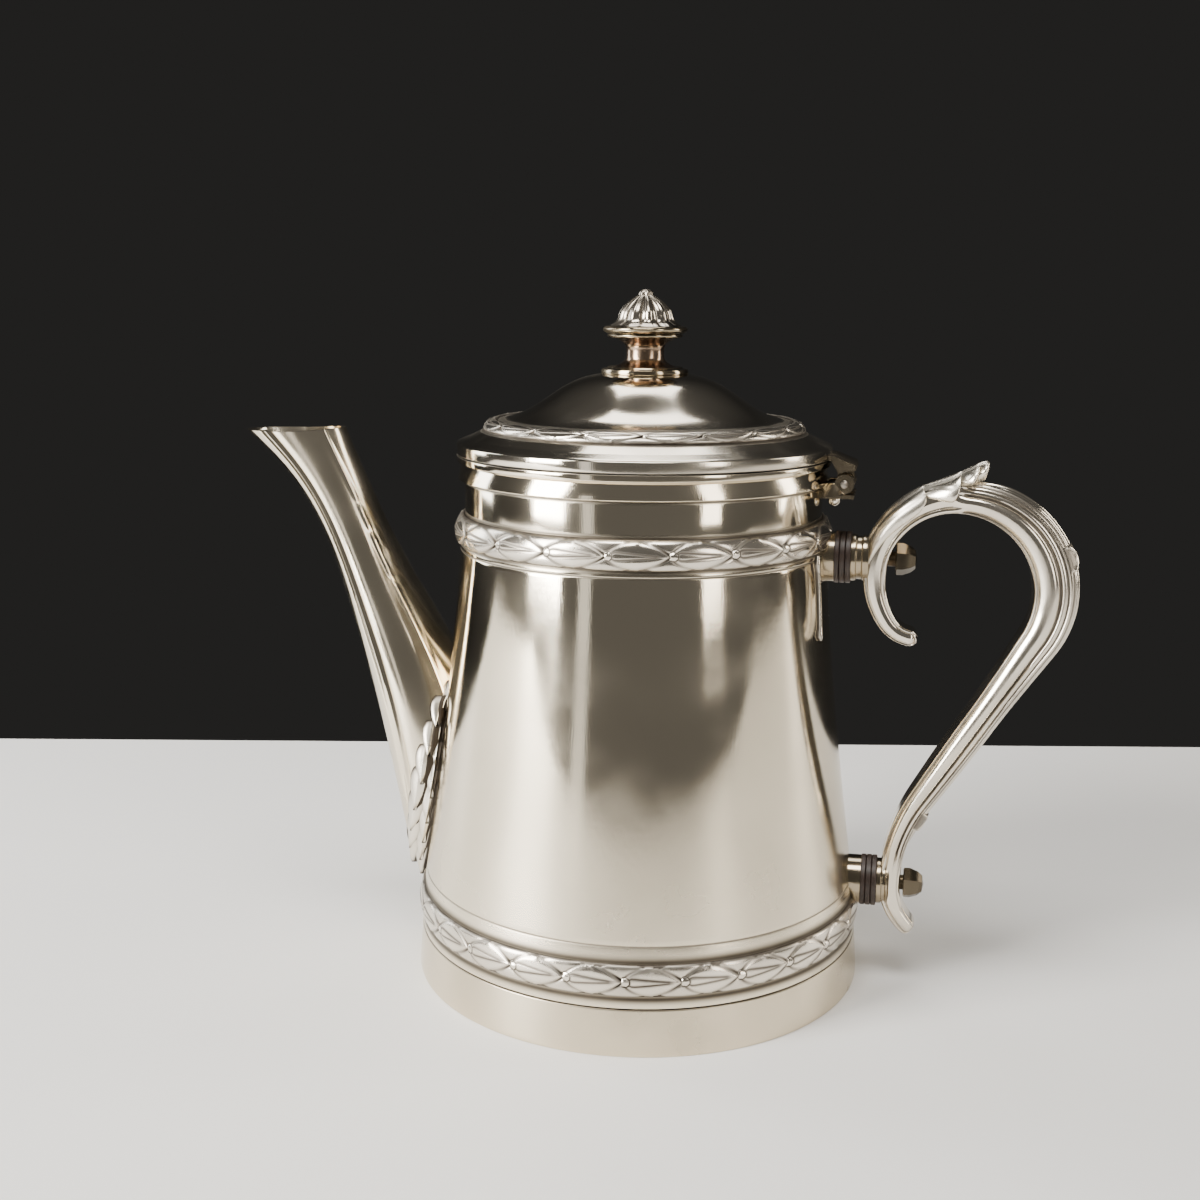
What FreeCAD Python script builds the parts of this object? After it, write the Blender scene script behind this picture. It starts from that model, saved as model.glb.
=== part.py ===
import FreeCAD, Part
import math
import os
import re

import Sketcher
from FreeCAD import Matrix, Placement, Rotation, Vector

# Silver coffee pot with a hinged lid, a tall spout and an insulated scroll handle.
# Millimetres. Z is the pot's axis, z = 0 the table, +X the handle, -X the spout.

doc = FreeCAD.newDocument("CoffeePot")
sheet = doc.addObject("Spreadsheet::Sheet", "Sizes")

DRIVING_SIZES = {
    # foot and body wall
    "base_radius": 62.0,
    "foot_height": 12.3,
    "foot_edge": 1.2,
    "foot_taper": 0.9,
    "foot_wall": 2.0,
    "bottom_height": 8.0,
    "bottom_thickness": 1.5,
    "bottom_clearance": 0.8,
    "wall": 1.2,
    "lower_wall_rise": 11.7,
    "lower_wall_taper": 0.7,
    "wall_rise": 95.0,
    "wall_taper": 11.1,
    "wall_curve_radius": 1400.0,
    "shoulder_rise": 8.8,
    "shoulder_taper": 1.3,
    "neck_rise": 15.4,
    # laurel bands and rim moulding
    "lower_band_gap": 3.3,
    "lower_band_depth": 0.9,
    "lower_band_height": 8.4,
    "lower_band_curve_radius": 14.9,
    "upper_band_gap": 1.0,
    "upper_band_depth": 1.7,
    "upper_band_height": 7.6,
    "upper_band_curve_radius": 6.5,
    "rim_moulding_height": 6.6,
    "rim_moulding_foot": 0.5,
    "rim_strip_height": 1.7,
    "rim_strip_step": 0.2,
    "rim_overhang": 2.1,
    "rim_hollow_radius": 6.0,
    # lid
    "lid_gap": 0.3,
    "lid_edge_height": 2.8,
    "lid_edge_width": 5.2,
    "lid_slope_rise": 3.5,
    "lid_slope_width": 7.3,
    "lid_band_rise": 2.4,
    "lid_band_width": 3.2,
    "lid_band_curve_radius": 2.6,
    "lid_dome_rise": 12.3,
    "lid_curve_radius": 28.0,
    "lid_wall": 1.3,
    "bezel_depth": 3.6,
    "bezel_wall": 1.0,
    "bezel_clearance": 0.8,
    "bezel_notch": 19.0,
    # finial
    "finial_foot_radius": 11.6,
    "finial_foot_height": 1.7,
    "finial_foot_step": 3.0,
    "finial_waist_radius": 5.2,
    "finial_waist_rise": 6.1,
    "finial_ring_radius": 10.0,
    "finial_ring_step": 2.0,
    "finial_ring_rise": 9.3,
    "finial_ring_thickness": 1.2,
    "finial_disc_radius": 11.1,
    "finial_disc_thickness": 1.9,
    "finial_bud_radius": 9.2,
    "finial_bud_curve_radius": 12.9,
    "finial_bud_bore": 4.0,
    "finial_bud_rise": 7.2,
    "finial_tip_radius": 1.3,
    "finial_tip_neck": 0.8,
    "finial_tip_step": 0.6,
    "finial_tip_belly": 0.9,
    "finial_tip_top": 0.9,
    "finial_stud_radius": 2.0,
    "finial_stud_play": 0.5,
    "finial_stud_end": 1.0,
    "finial_nut_flats": 7.0,
    "finial_nut_height": 3.0,
    "finial_washer_radius": 6.5,
    "finial_washer_height": 1.0,
    # spout: each station's front beyond the base, its length and its width
    "spout_wall": 1.2,
    "spout_mouth_rise": 4.0,
    "spout_mouth_overhang": 51.6,
    "spout_mouth_length": 28.1,
    "spout_mouth_width": 18.0,
    "spout_throat_rise": 5.0,
    "spout_throat_overhang": 31.4,
    "spout_throat_length": 18.4,
    "spout_throat_width": 18.6,
    "spout_crotch_drop": 27.0,
    "spout_crotch_overhang": 19.4,
    "spout_crotch_length": 24.0,
    "spout_crotch_width": 28.0,
    "spout_belly_rise": 30.0,
    "spout_belly_overhang": 9.2,
    "spout_belly_length": 26.0,
    "spout_belly_width": 35.0,
    "spout_toe_rise": 4.7,
    "spout_toe_overhang": 0.4,
    "spout_toe_length": 8.0,
    "spout_toe_width": 9.0,
    "collar_overhang": 1.6,
    "collar_depth": 7.4,
    "collar_drop": 3.0,
    "strainer_rise": 14.0,
    "strainer_hole_radius": 2.2,
    "strainer_pitch": 8.0,
    # handle fittings
    "upper_socket_drop": 1.6,
    "lower_socket_rise": 3.5,
    "socket_radius": 6.6,
    "upper_socket_length": 2.6,
    "lower_socket_length": 2.0,
    "insulator_radius": 6.9,
    "insulator_length": 4.3,
    "ferrule_radius": 6.2,
    "upper_ferrule_length": 4.4,
    "lower_ferrule_length": 4.4,
    "limb_stand_off": 2.4,
    "heel_seat": 0.9,
    "stud_radius": 2.0,
    "stud_clearance": 0.1,
    "stud_end": 0.6,
    "seat_clearance": 0.06,
    "nut_flats": 8.6,
    "nut_length": 4.4,
    "nut_stand_off": 0.9,
    # scroll handle
    "scroll_left_radius": 21.5,
    "scroll_right_radius": 24.5,
    "socket_angle": 168.0,
    "curl_radius": 9.0,
    "heel_radius": 46.6,
    "tail_radius": 16.0,
    "handle_tip_thickness": 4.4,
    "handle_limb_thickness": 6.0,
    "handle_arch_thickness": 11.2,
    "handle_grip_thickness": 8.4,
    "handle_heel_thickness": 5.6,
    "handle_width": 12.4,
    "handle_end_width": 8.0,
    "reed_thickness": 1.3,
    "reed_width": 6.0,
    "tie_thickness": 1.95,
    "tie_length": 4.2,
    "tie_width": 8.6,
    "leaf_start": 6.0,
    "leaf_width": 17.0,
    "leaf_thickness": 1.6,
    "leaf_lift": 3.2,
    "leaf_overrun": 5.4,
    # ribbon tails on the wall beside the upper socket
    "ribbon_angle": 14.0,
    "ribbon_width": 2.0,
    "ribbon_end_radius": 1.7,
    "ribbon_gap": 1.5,
    "ribbon_length": 21.2,
    "ribbon_depth": 1.0,
    # lid hinge
    "hinge_overhang": 6.0,
    "hinge_drop": 5.6,
    "knuckle_radius": 2.5,
    "hinge_pin_radius": 1.0,
    "hinge_pin_end": 0.5,
    "hinge_clearance": 0.06,
    "knuckle_length": 5.0,
    "knuckle_gap": 0.35,
    "hinge_leaf_thickness": 1.2,
    "hinge_leaf_overlap": 1.0,
    "hinge_leaf_setback": 0.9,
    "hinge_plate_drop": 3.8,
    "hinge_drop_radius": 1.6,
}

# Sizes that follow from the driving ones, so that neighbours stay together when one changes.
DERIVED_SIZES = {
    "foot_top_radius": "base_radius - foot_taper",
    "lower_wall_radius": "foot_top_radius - lower_wall_taper",
    "lower_wall_height": "foot_height + lower_wall_rise",
    "shoulder_radius": "lower_wall_radius - wall_taper",
    "shoulder_height": "lower_wall_height + wall_rise",
    "neck_radius": "shoulder_radius - shoulder_taper",
    "neck_height": "shoulder_height + shoulder_rise",
    "rim_radius": "neck_radius + rim_overhang",
    "rim_height": "neck_height + neck_rise",
    "lower_band_bottom": "foot_height + lower_band_gap",
    "upper_band_bottom": "shoulder_height + upper_band_gap",
    "lid_seat": "rim_height + lid_gap",
    "lid_edge_bore": "rim_radius - lid_edge_width",
    "lid_band_outer_radius": "rim_radius - lid_slope_width",
    "lid_band_inner_radius": "lid_band_outer_radius - lid_band_width",
    "lid_band_low": "lid_seat + lid_edge_height + lid_slope_rise",
    "lid_band_high": "lid_band_low + lid_band_rise",
    "lid_top_height": "lid_band_high + lid_dome_rise",
    "lid_middle_radius": "(lid_band_inner_radius + finial_foot_radius) / 2",
    "lid_middle_height": "(lid_band_high + lid_top_height) / 2",
    "finial_waist_height": "lid_top_height + finial_waist_rise",
    "finial_ring_height": "lid_top_height + finial_ring_rise",
    "finial_disc_height": "finial_ring_height + finial_ring_thickness",
    "finial_bud_height": "finial_disc_height + finial_disc_thickness",
    "finial_tip_height": "finial_bud_height + finial_bud_rise",
    "spout_mouth_height": "rim_height + spout_mouth_rise",
    "spout_throat_height": "shoulder_height + spout_throat_rise",
    "spout_crotch_height": "shoulder_height - spout_crotch_drop",
    "spout_belly_height": "lower_wall_height + spout_belly_rise",
    "spout_toe_height": "foot_height + spout_toe_rise",
    "upper_socket_height": "shoulder_height - upper_socket_drop",
    "lower_socket_height": "lower_wall_height + lower_socket_rise",
    "upper_socket_end": "shoulder_radius + upper_socket_length",
    "lower_socket_end": "lower_wall_radius + lower_socket_length",
    "limb_reach": "upper_socket_end + insulator_length + upper_ferrule_length + limb_stand_off",
    "scroll_centre": "limb_reach - scroll_left_radius * cos(socket_angle)",
    "scroll_top": "upper_socket_height + scroll_left_radius * (1 - sin(socket_angle))",
    "heel_reach": "lower_socket_end + insulator_length + lower_ferrule_length - heel_seat",
    "grip_span": "heel_reach + heel_radius - scroll_centre",
    "grip_drop": "scroll_top - scroll_right_radius - lower_socket_height",
    "grip_distance": "sqrt(grip_span ^ 2 + grip_drop ^ 2)",
    "grip_turn": "scroll_right_radius + heel_radius",
    "grip_length": "sqrt(grip_distance ^ 2 - grip_turn ^ 2)",
    "grip_angle": "(atan(grip_drop / grip_span) - acos(grip_turn / grip_distance)) / 1deg",
    "upper_nut_seat": "limb_reach + handle_limb_thickness / 2 + 2 * nut_stand_off",
    "lower_nut_seat": "heel_reach + handle_heel_thickness / 2 + nut_stand_off",
    "ribbon_bottom": "upper_band_bottom - ribbon_gap - ribbon_length",
    "hinge_reach": "neck_radius + hinge_overhang",
    "hinge_height": "rim_height - hinge_drop",
    "hinge_plate_bottom": "hinge_height - hinge_plate_drop",
}

for row, (alias, value) in enumerate({**DRIVING_SIZES, **DERIVED_SIZES}.items(), start=1):
    sheet.set("A%d" % row, alias)
    sheet.setAlias("B%d" % row, alias)
    sheet.set("B%d" % row, "=" + value if isinstance(value, str) else str(value))
doc.recompute()


def size(alias):
    """A driving dimension, read from the sheet."""
    return float(sheet.get(alias))


def bound(expression):
    """The expression with each size name pointed at the sheet."""
    return re.sub(r"\b([a-z]\w*)\b", r"Sizes.\1", str(expression))


def measured(expression):
    """The value that an expression has now."""
    return float(sheet.evalExpression(str(expression)))


NODES = {}


def node(label, made):
    """Register a finished sub-part under the name of its file."""
    made.Label = label
    NODES[label] = made
    return made


def turned(label, profile, arcs=None):
    """A body turned about Z from (radius, height) expressions.

    arcs maps the index of a profile side to (radius expression, bulge side): +1 bulges to
    the left of the way the outline runs, -1 to the right.
    """
    arcs = arcs or {}
    body = doc.addObject("PartDesign::Body", label)
    sketch = body.newObject("Sketcher::SketchObject", label + "_profile")
    plane = next(item for item in body.Origin.OriginFeatures if item.Role == "XZ_Plane")
    sketch.AttachmentSupport = (plane, [""])
    sketch.MapMode = "FlatFace"
    corners = [Vector(measured(radius), measured(height), 0) for radius, height in profile]
    ends = []
    for index, start in enumerate(corners):
        stop = corners[(index + 1) % len(corners)]
        if index in arcs:
            curve_radius, side = arcs[index]
            chord = stop - start
            half = chord.Length / 2
            radius = measured(curve_radius)
            rise = radius - math.sqrt(radius * radius - half * half)
            left = Vector(-chord.y, chord.x, 0).normalize()
            middle = (start + stop) * 0.5 + left * (rise * side)
            clockwise = side > 0
            first, last = (stop, start) if clockwise else (start, stop)
            geometry = sketch.addGeometry(Part.Arc(first, middle, last), False)
            ends.append((geometry, 2, 1) if clockwise else (geometry, 1, 2))
            arc_radius = sketch.addConstraint(Sketcher.Constraint("Radius", geometry, radius))
            sketch.setExpression("Constraints[%d]" % arc_radius, bound(curve_radius))
        else:
            ends.append((sketch.addGeometry(Part.LineSegment(start, stop), False), 1, 2))
    for index, (radius, height) in enumerate(profile):
        geometry, first, last = ends[index]
        following, next_first = ends[(index + 1) % len(ends)][:2]
        sketch.addConstraint(Sketcher.Constraint("Coincident", geometry, last, following, next_first))
        if corners[index].x < 1e-6:
            sketch.addConstraint(Sketcher.Constraint("PointOnObject", geometry, first, -2))
        else:
            across = Sketcher.Constraint("DistanceX", -1, 1, geometry, first, corners[index].x)
            sketch.setExpression("Constraints[%d]" % sketch.addConstraint(across), bound(radius))
        if corners[index].y < 1e-6:
            sketch.addConstraint(Sketcher.Constraint("PointOnObject", geometry, first, -1))
        else:
            upward = Sketcher.Constraint("DistanceY", -1, 1, geometry, first, corners[index].y)
            sketch.setExpression("Constraints[%d]" % sketch.addConstraint(upward), bound(height))
    turning = body.newObject("PartDesign::Revolution", label + "_turning")
    turning.Profile = sketch
    turning.ReferenceAxis = (sketch, ["V_Axis"])
    turning.Angle = 360
    body.Tip = turning
    return body


def rod(label, radius, start, length, height, turn=None, depth="0"):
    """A cylinder along X from start, at the given height (all expressions)."""
    made = doc.addObject("Part::Cylinder", label)
    made.Placement = Placement(Vector(), turn or Rotation(Vector(0, 1, 0), 90))
    for name, expression in (("Radius", radius), ("Height", length), ("Placement.Base.x", start),
                             ("Placement.Base.y", depth), ("Placement.Base.z", height)):
        made.setExpression(name, bound(expression))
    return made


def block(label, low, high):
    """A box between two corners given as expressions."""
    made = doc.addObject("Part::Box", label)
    for axis, side, first, last in zip("xyz", ("Length", "Width", "Height"), low, high):
        made.setExpression("Placement.Base." + axis, bound(first))
        made.setExpression(side, bound("(%s) - (%s)" % (last, first)))
    return made


def hexagon(label, flats, start, length, height, turn=None):
    """A hexagonal prism along X from start, by its width across the flats."""
    made = doc.addObject("Part::Prism", label)
    made.Polygon = 6
    made.Placement = Placement(Vector(), turn or Rotation(Vector(0, 1, 0), 90))
    made.setExpression("Circumradius", bound(flats) + " / sqrt(3)")
    for name, expression in (("Height", length), ("Placement.Base.x", start),
                             ("Placement.Base.z", height)):
        made.setExpression(name, bound(expression))
    return made


def joined(label, *pieces):
    """Several shapes fused into one."""
    made = doc.addObject("Part::MultiFuse", label)
    made.Shapes = list(pieces)
    made.Refine = True
    return made


def cut(label, base, *tools):
    """A shape with others taken away, one after the other."""
    for index, tool in enumerate(tools):
        last = index == len(tools) - 1
        made = doc.addObject("Part::Cut", label if last else "%s_cut%d" % (label, index))
        made.Base = base
        made.Tool = tool
        base = made
    return base


def shared(label, base, tool):
    """The space that two shapes share."""
    made = doc.addObject("Part::Common", label)
    made.Base = base
    made.Tool = tool
    return made


def solid(label, shape):
    """A shape made by formula, kept as a feature of the document."""
    made = doc.addObject("Part::Feature", label)
    made.Shape = shape
    return made


UPRIGHT = Rotation()
ALONG_Y = Rotation(Vector(1, 0, 0), -90)

# Foot: a plain turned skirt, with the bottom plate let in above the table.
foot_bore = "base_radius - foot_wall"
node("foot_ring", turned("foot_ring", [
    (foot_bore, "0"),
    ("base_radius", "0"),
    ("base_radius", "foot_edge"),
    ("foot_top_radius", "foot_height"),
    ("foot_top_radius - foot_wall", "foot_height"),
    (foot_bore, "bottom_height"),
]))
node("bottom_plate", turned("bottom_plate", [
    ("0", "bottom_height"),
    (foot_bore + " - bottom_clearance", "bottom_height"),
    (foot_bore + " - bottom_clearance", "bottom_height + bottom_thickness"),
    ("0", "bottom_height + bottom_thickness"),
]))

# Body wall: raised in one piece, slightly hollow up its height, straight in the neck.
wall_outline = [
    ("foot_top_radius", "foot_height"),
    ("lower_wall_radius", "lower_wall_height"),
    ("shoulder_radius", "shoulder_height"),
    ("neck_radius", "neck_height"),
    ("neck_radius", "rim_height"),
]
inner_outline = [(radius + " - wall", height) for radius, height in reversed(wall_outline)]
body_blank = turned("body_blank", wall_outline + inner_outline,
                    {1: ("wall_curve_radius", 1), 7: ("wall_curve_radius", -1)})
envelope = turned("wall_envelope", [("0", "foot_height")] + wall_outline + [("0", "rim_height")],
                  {2: ("wall_curve_radius", 1)})

# Strainer: a cluster of holes through the wall behind the spout.
strainer_tools = []
for row_offset in (-1, 0, 1):
    for column_offset in (-1, 0, 1):
        strainer_tools.append(rod(
            "strainer_hole", "strainer_hole_radius", "-base_radius", "base_radius / 2",
            "spout_belly_height + strainer_rise + %d * strainer_pitch" % row_offset,
            depth="%d * strainer_pitch" % column_offset))
node("body_shell", cut("body_shell", body_blank, joined("strainer_holes", *strainer_tools)))


def skin(label, depth):
    """The wall's outer envelope grown outwards by a depth expression."""
    grown = [(radius + " + " + depth, height) for radius, height in wall_outline]
    return turned(label, [("0", "foot_height")] + grown + [("0", "rim_height")],
                  {2: ("wall_curve_radius", 1)})


# Handle sockets: short stubs let on to the wall, each with an insulating disc and a ferrule.
def handle_fitting(place, seat_radius):
    """Socket, insulator, ferrule blank, stud and nut of one end of the handle."""
    socket_end = place + "_socket_end"
    height = place + "_socket_height"
    nut_seat = place + "_nut_seat"
    ferrule_length = place + "_ferrule_length"
    start = seat_radius + " - 2 * socket_radius"
    hole_length = nut_seat + " + 2 * nut_length - (%s)" % start
    hole = rod(place + "_stud_hole", "stud_radius + stud_clearance", start, hole_length, height)
    label = place + "_handle"
    blank = rod(label + "_socket_blank", "socket_radius", start, "%s - (%s)" % (socket_end, start), height)
    node(label + "_socket", cut(label + "_socket", blank, envelope, hole))
    disc = rod(label + "_insulator_blank", "insulator_radius", socket_end, "insulator_length", height)
    node(label + "_insulator", cut(label + "_insulator", disc, hole))
    ferrule_start = socket_end + " + insulator_length"
    ferrule = rod(label + "_ferrule_blank", "ferrule_radius", ferrule_start, ferrule_length, height)
    stud_length = nut_seat + " + nut_length + stud_end - (%s)" % start
    stud = rod(label + "_stud_blank", "stud_radius", start, stud_length, height)
    node(label + "_stud", cut(label + "_stud", stud, envelope))
    nut = hexagon(label + "_nut_blank", "nut_flats", nut_seat, "nut_length", height)
    node(label + "_nut", cut(label + "_nut", nut, hole))
    return blank, ferrule, hole


upper_blank, upper_ferrule, upper_hole = handle_fitting("upper", "shoulder_radius")
lower_blank, lower_ferrule, lower_hole = handle_fitting("lower", "lower_wall_radius")

# Rim: a hollow moulding and a square strip round the outside of the neck.
node("rim_moulding", turned("rim_moulding", [
    ("neck_radius", "rim_height - rim_moulding_height"),
    ("neck_radius + rim_moulding_foot", "rim_height - rim_moulding_height"),
    ("rim_radius - rim_strip_step", "rim_height - rim_strip_height"),
    ("rim_radius", "rim_height - rim_strip_height"),
    ("rim_radius", "rim_height"),
    ("neck_radius", "rim_height"),
], {1: ("rim_hollow_radius", 1)}))

# Lid: a dome with an ogee slope and a square edge, standing just clear of the rim.
node("lid_shell", turned("lid_shell", [
    ("lid_edge_bore", "lid_seat"),
    ("rim_radius", "lid_seat"),
    ("rim_radius", "lid_seat + lid_edge_height"),
    ("lid_band_outer_radius", "lid_band_low"),
    ("lid_band_inner_radius", "lid_band_high"),
    ("lid_middle_radius", "lid_middle_height"),
    ("finial_foot_radius", "lid_top_height"),
    ("finial_stud_radius + stud_clearance", "lid_top_height"),
    ("finial_stud_radius + stud_clearance", "lid_top_height - lid_wall"),
    ("finial_foot_radius - 0.5 * lid_wall", "lid_top_height - lid_wall"),
    ("lid_middle_radius - 0.5 * lid_wall", "lid_middle_height - lid_wall"),
    ("lid_band_inner_radius - 0.5 * lid_wall", "lid_band_high - lid_wall"),
    ("lid_band_outer_radius - 0.6 * lid_wall", "lid_band_low - lid_wall"),
    ("lid_edge_bore", "lid_band_low - 1.6 * lid_wall"),
], {4: ("lid_curve_radius", 1), 5: ("lid_curve_radius", -1),
    9: ("lid_curve_radius", 1), 10: ("lid_curve_radius", -1)}))
node("lid_laurel_band", turned("lid_laurel_band", [
    ("lid_band_outer_radius", "lid_band_low"),
    ("lid_band_inner_radius", "lid_band_high"),
], {0: ("lid_band_curve_radius", -1)}))

# Bezel: the ring under the lid that drops into the neck, cut away towards the hinge.
bezel_outer = "neck_radius - wall - bezel_clearance"
bezel_blank = turned("bezel_blank", [
    (bezel_outer + " - bezel_wall", "rim_height - bezel_depth"),
    (bezel_outer, "rim_height - bezel_depth"),
    (bezel_outer, "lid_seat"),
    (bezel_outer + " - bezel_wall", "lid_seat"),
])
bezel_cutter = block("bezel_cutter", ("neck_radius - bezel_notch", "-base_radius", "rim_height - 2 * bezel_depth"),
                     ("base_radius", "base_radius", "rim_height + bezel_depth"))
node("lid_bezel", cut("lid_bezel", bezel_blank, bezel_cutter))

# Finial: foot, waisted spool, ring, disc and bud threaded on one stud through the lid.
finial_bore = "finial_stud_radius + stud_clearance"
node("finial_spool", turned("finial_spool", [
    (finial_bore, "lid_top_height"),
    ("finial_foot_radius", "lid_top_height"),
    ("finial_foot_radius", "lid_top_height + finial_foot_height"),
    ("finial_foot_radius - finial_foot_step", "lid_top_height + finial_foot_height"),
    ("finial_waist_radius", "finial_waist_height"),
    ("finial_ring_radius - finial_ring_step", "finial_ring_height"),
    (finial_bore, "finial_ring_height"),
]))
node("finial_ring", turned("finial_ring", [
    (finial_bore, "finial_ring_height"),
    ("finial_ring_radius", "finial_ring_height"),
    ("finial_ring_radius", "finial_disc_height"),
    (finial_bore, "finial_disc_height"),
]))
node("finial_disc", turned("finial_disc", [
    (finial_bore, "finial_disc_height"),
    ("finial_disc_radius", "finial_disc_height"),
    ("finial_disc_radius", "finial_bud_height"),
    (finial_bore, "finial_bud_height"),
], {1: ("finial_disc_thickness", -1)}))
node("finial_bud", turned("finial_bud", [
    ("0", "finial_bud_height + finial_bud_bore"),
    (finial_bore, "finial_bud_height + finial_bud_bore"),
    (finial_bore, "finial_bud_height"),
    ("finial_bud_radius", "finial_bud_height"),
    ("finial_tip_radius * 2", "finial_tip_height"),
    ("finial_tip_neck", "finial_tip_height + finial_tip_step"),
    ("finial_tip_radius", "finial_tip_height + finial_tip_step + finial_tip_belly"),
    ("0", "finial_tip_height + finial_tip_step + finial_tip_belly + finial_tip_top"),
], {3: ("finial_bud_curve_radius", -1)}))
lid_inside = "lid_top_height - lid_wall"
nut_below = lid_inside + " - finial_washer_height - finial_nut_height"
stud_foot = nut_below + " - finial_stud_end"
node("finial_stud", rod("finial_stud", "finial_stud_radius", "0",
                        "finial_bud_height + finial_bud_bore - finial_stud_play - (%s)" % stud_foot,
                        stud_foot, turn=UPRIGHT))
stud_way = rod("finial_stud_way", finial_bore, "0", "lid_top_height", nut_below + " - 2 * finial_stud_end",
               turn=UPRIGHT)
washer_blank = rod("finial_washer_blank", "finial_washer_radius", "0", "finial_washer_height",
                   lid_inside + " - finial_washer_height", turn=UPRIGHT)
node("finial_washer", cut("finial_washer", washer_blank, stud_way))
finial_nut = hexagon("finial_nut_blank", "finial_nut_flats", "0", "finial_nut_height", nut_below,
                     turn=UPRIGHT)
node("finial_nut", cut("finial_nut", finial_nut, stud_way))


# Lofted forms: closed oval sections, each a unit circle stretched into place.
def oval(centre, across, sideways):
    """A closed oval wire: across and sideways are its two half-axis vectors."""
    normal = across.cross(sideways).normalize()
    stretch = Matrix(across.x, sideways.x, normal.x, centre.x,
                     across.y, sideways.y, normal.y, centre.y,
                     across.z, sideways.z, normal.z, centre.z,
                     0, 0, 0, 1)
    return Part.Wire(Part.makeCircle(1.0).transformGeometry(stretch).Edges)


# Spout: a hollow tapering tube from a broad root on the wall to a long lipped mouth.
SPOUT_STATIONS = ("mouth", "throat", "crotch", "belly", "toe")


def spout_section(name, margin, lift=0.0):
    """The level section of the spout at a named height, grown by margin on every side."""
    reach = size("base_radius") + size("spout_%s_overhang" % name)
    half_length = size("spout_%s_length" % name) / 2
    half_width = size("spout_%s_width" % name) / 2
    centre = Vector(-(reach - half_length), 0, size("spout_%s_height" % name) + lift)
    return oval(centre, Vector(-(half_length + margin), 0, 0), Vector(0, half_width + margin, 0))


def spout_solid(margin, stations, lift=0.0):
    """The spout's outer form grown by margin, lofted through its stations."""
    sections = [spout_section(name, margin, lift if name == "mouth" else 0.0) for name in stations]
    return Part.makeLoft(sections, True, False)


spout_outside = solid("spout_outside", spout_solid(0.0, SPOUT_STATIONS))
spout_inside = solid("spout_inside", spout_solid(-size("spout_wall"), SPOUT_STATIONS, 0.01))
node("spout", cut("spout", spout_outside, spout_inside, envelope))

# Laurel bands: half-round wires bent round the wall, notched for the sockets and spout.
lower_band = turned("lower_band_blank", [
    ("lower_wall_radius", "lower_band_bottom"),
    ("lower_wall_radius + lower_band_depth", "lower_band_bottom"),
    ("lower_wall_radius + lower_band_depth", "lower_band_bottom + lower_band_height"),
    ("lower_wall_radius", "lower_band_bottom + lower_band_height"),
], {1: ("lower_band_curve_radius", -1)})
node("lower_laurel_band", cut("lower_laurel_band", lower_band, envelope, lower_blank,
                              spout_outside))
upper_band = turned("upper_band_blank", [
    ("neck_radius", "upper_band_bottom"),
    ("neck_radius + upper_band_depth", "upper_band_bottom"),
    ("neck_radius + upper_band_depth", "upper_band_bottom + upper_band_height"),
    ("neck_radius", "upper_band_bottom + upper_band_height"),
], {1: ("upper_band_curve_radius", -1)})
node("upper_laurel_band", cut("upper_laurel_band", upper_band, envelope, upper_blank))

# Collar: the raised leaf border round the joint of the spout and the wall.
collar_form = solid("collar_form", spout_solid(size("collar_overhang"), SPOUT_STATIONS))
collar_blank = shared("collar_blank", collar_form, skin("collar_skin", "collar_depth"))
collar_top = block("collar_top", ("-2 * base_radius", "-base_radius", "spout_crotch_height - collar_drop"),
                   ("0", "base_radius", "spout_mouth_height"))
node("spout_leaf_collar", cut("spout_leaf_collar", collar_blank, collar_top, envelope, spout_outside,
                              NODES["lower_laurel_band"]))


# Handle spine: curl, two arcs of the scroll, straight grip, heel and tail, in the XZ plane.
def arc_piece(centre_x, centre_z, radius, first, last):
    """A spine arc: centre, radius, and its angles in degrees."""
    return ("arc", Vector(centre_x, 0, centre_z), radius, math.radians(first), math.radians(last))


CURL_START, CURL_END, HEEL_TURN, TAIL_TURN = 275.0, 215.0, 180.0, 235.0
grip_lean = size("grip_angle")
scroll_x = size("scroll_centre")
left_centre_z = size("scroll_top") - size("scroll_left_radius")
right_centre_z = size("scroll_top") - size("scroll_right_radius")
inset = size("scroll_left_radius") - size("curl_radius")
curl_x = scroll_x + inset * math.cos(math.radians(CURL_END))
curl_z = left_centre_z + inset * math.sin(math.radians(CURL_END))
grip_way = Vector(-math.sin(math.radians(grip_lean)), 0, -math.cos(math.radians(grip_lean)))
grip_out = Vector(grip_way.z, 0, -grip_way.x) * -1
grip_top = Vector(scroll_x, 0, right_centre_z) + grip_out * size("scroll_right_radius")
grip_foot = grip_top + grip_way * size("grip_length")
heel_centre = grip_foot + grip_out * size("heel_radius")
tail_x = heel_centre.x - size("heel_radius") + size("tail_radius")
SPINE = (
    arc_piece(curl_x, curl_z, size("curl_radius"), CURL_START, CURL_END),
    arc_piece(scroll_x, left_centre_z, size("scroll_left_radius"), CURL_END, 90.0),
    arc_piece(scroll_x, right_centre_z, size("scroll_right_radius"), 90.0, -grip_lean),
    ("line", grip_top, grip_foot),
    arc_piece(heel_centre.x, heel_centre.z, size("heel_radius"), HEEL_TURN - grip_lean, HEEL_TURN),
    arc_piece(tail_x, heel_centre.z, size("tail_radius"), HEEL_TURN, TAIL_TURN),
)


def piece_length(piece):
    """Length of one piece of the spine."""
    if piece[0] == "line":
        return piece[1].distanceToPoint(piece[2])
    return piece[2] * abs(piece[4] - piece[3])


LENGTHS = [piece_length(piece) for piece in SPINE]


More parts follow.
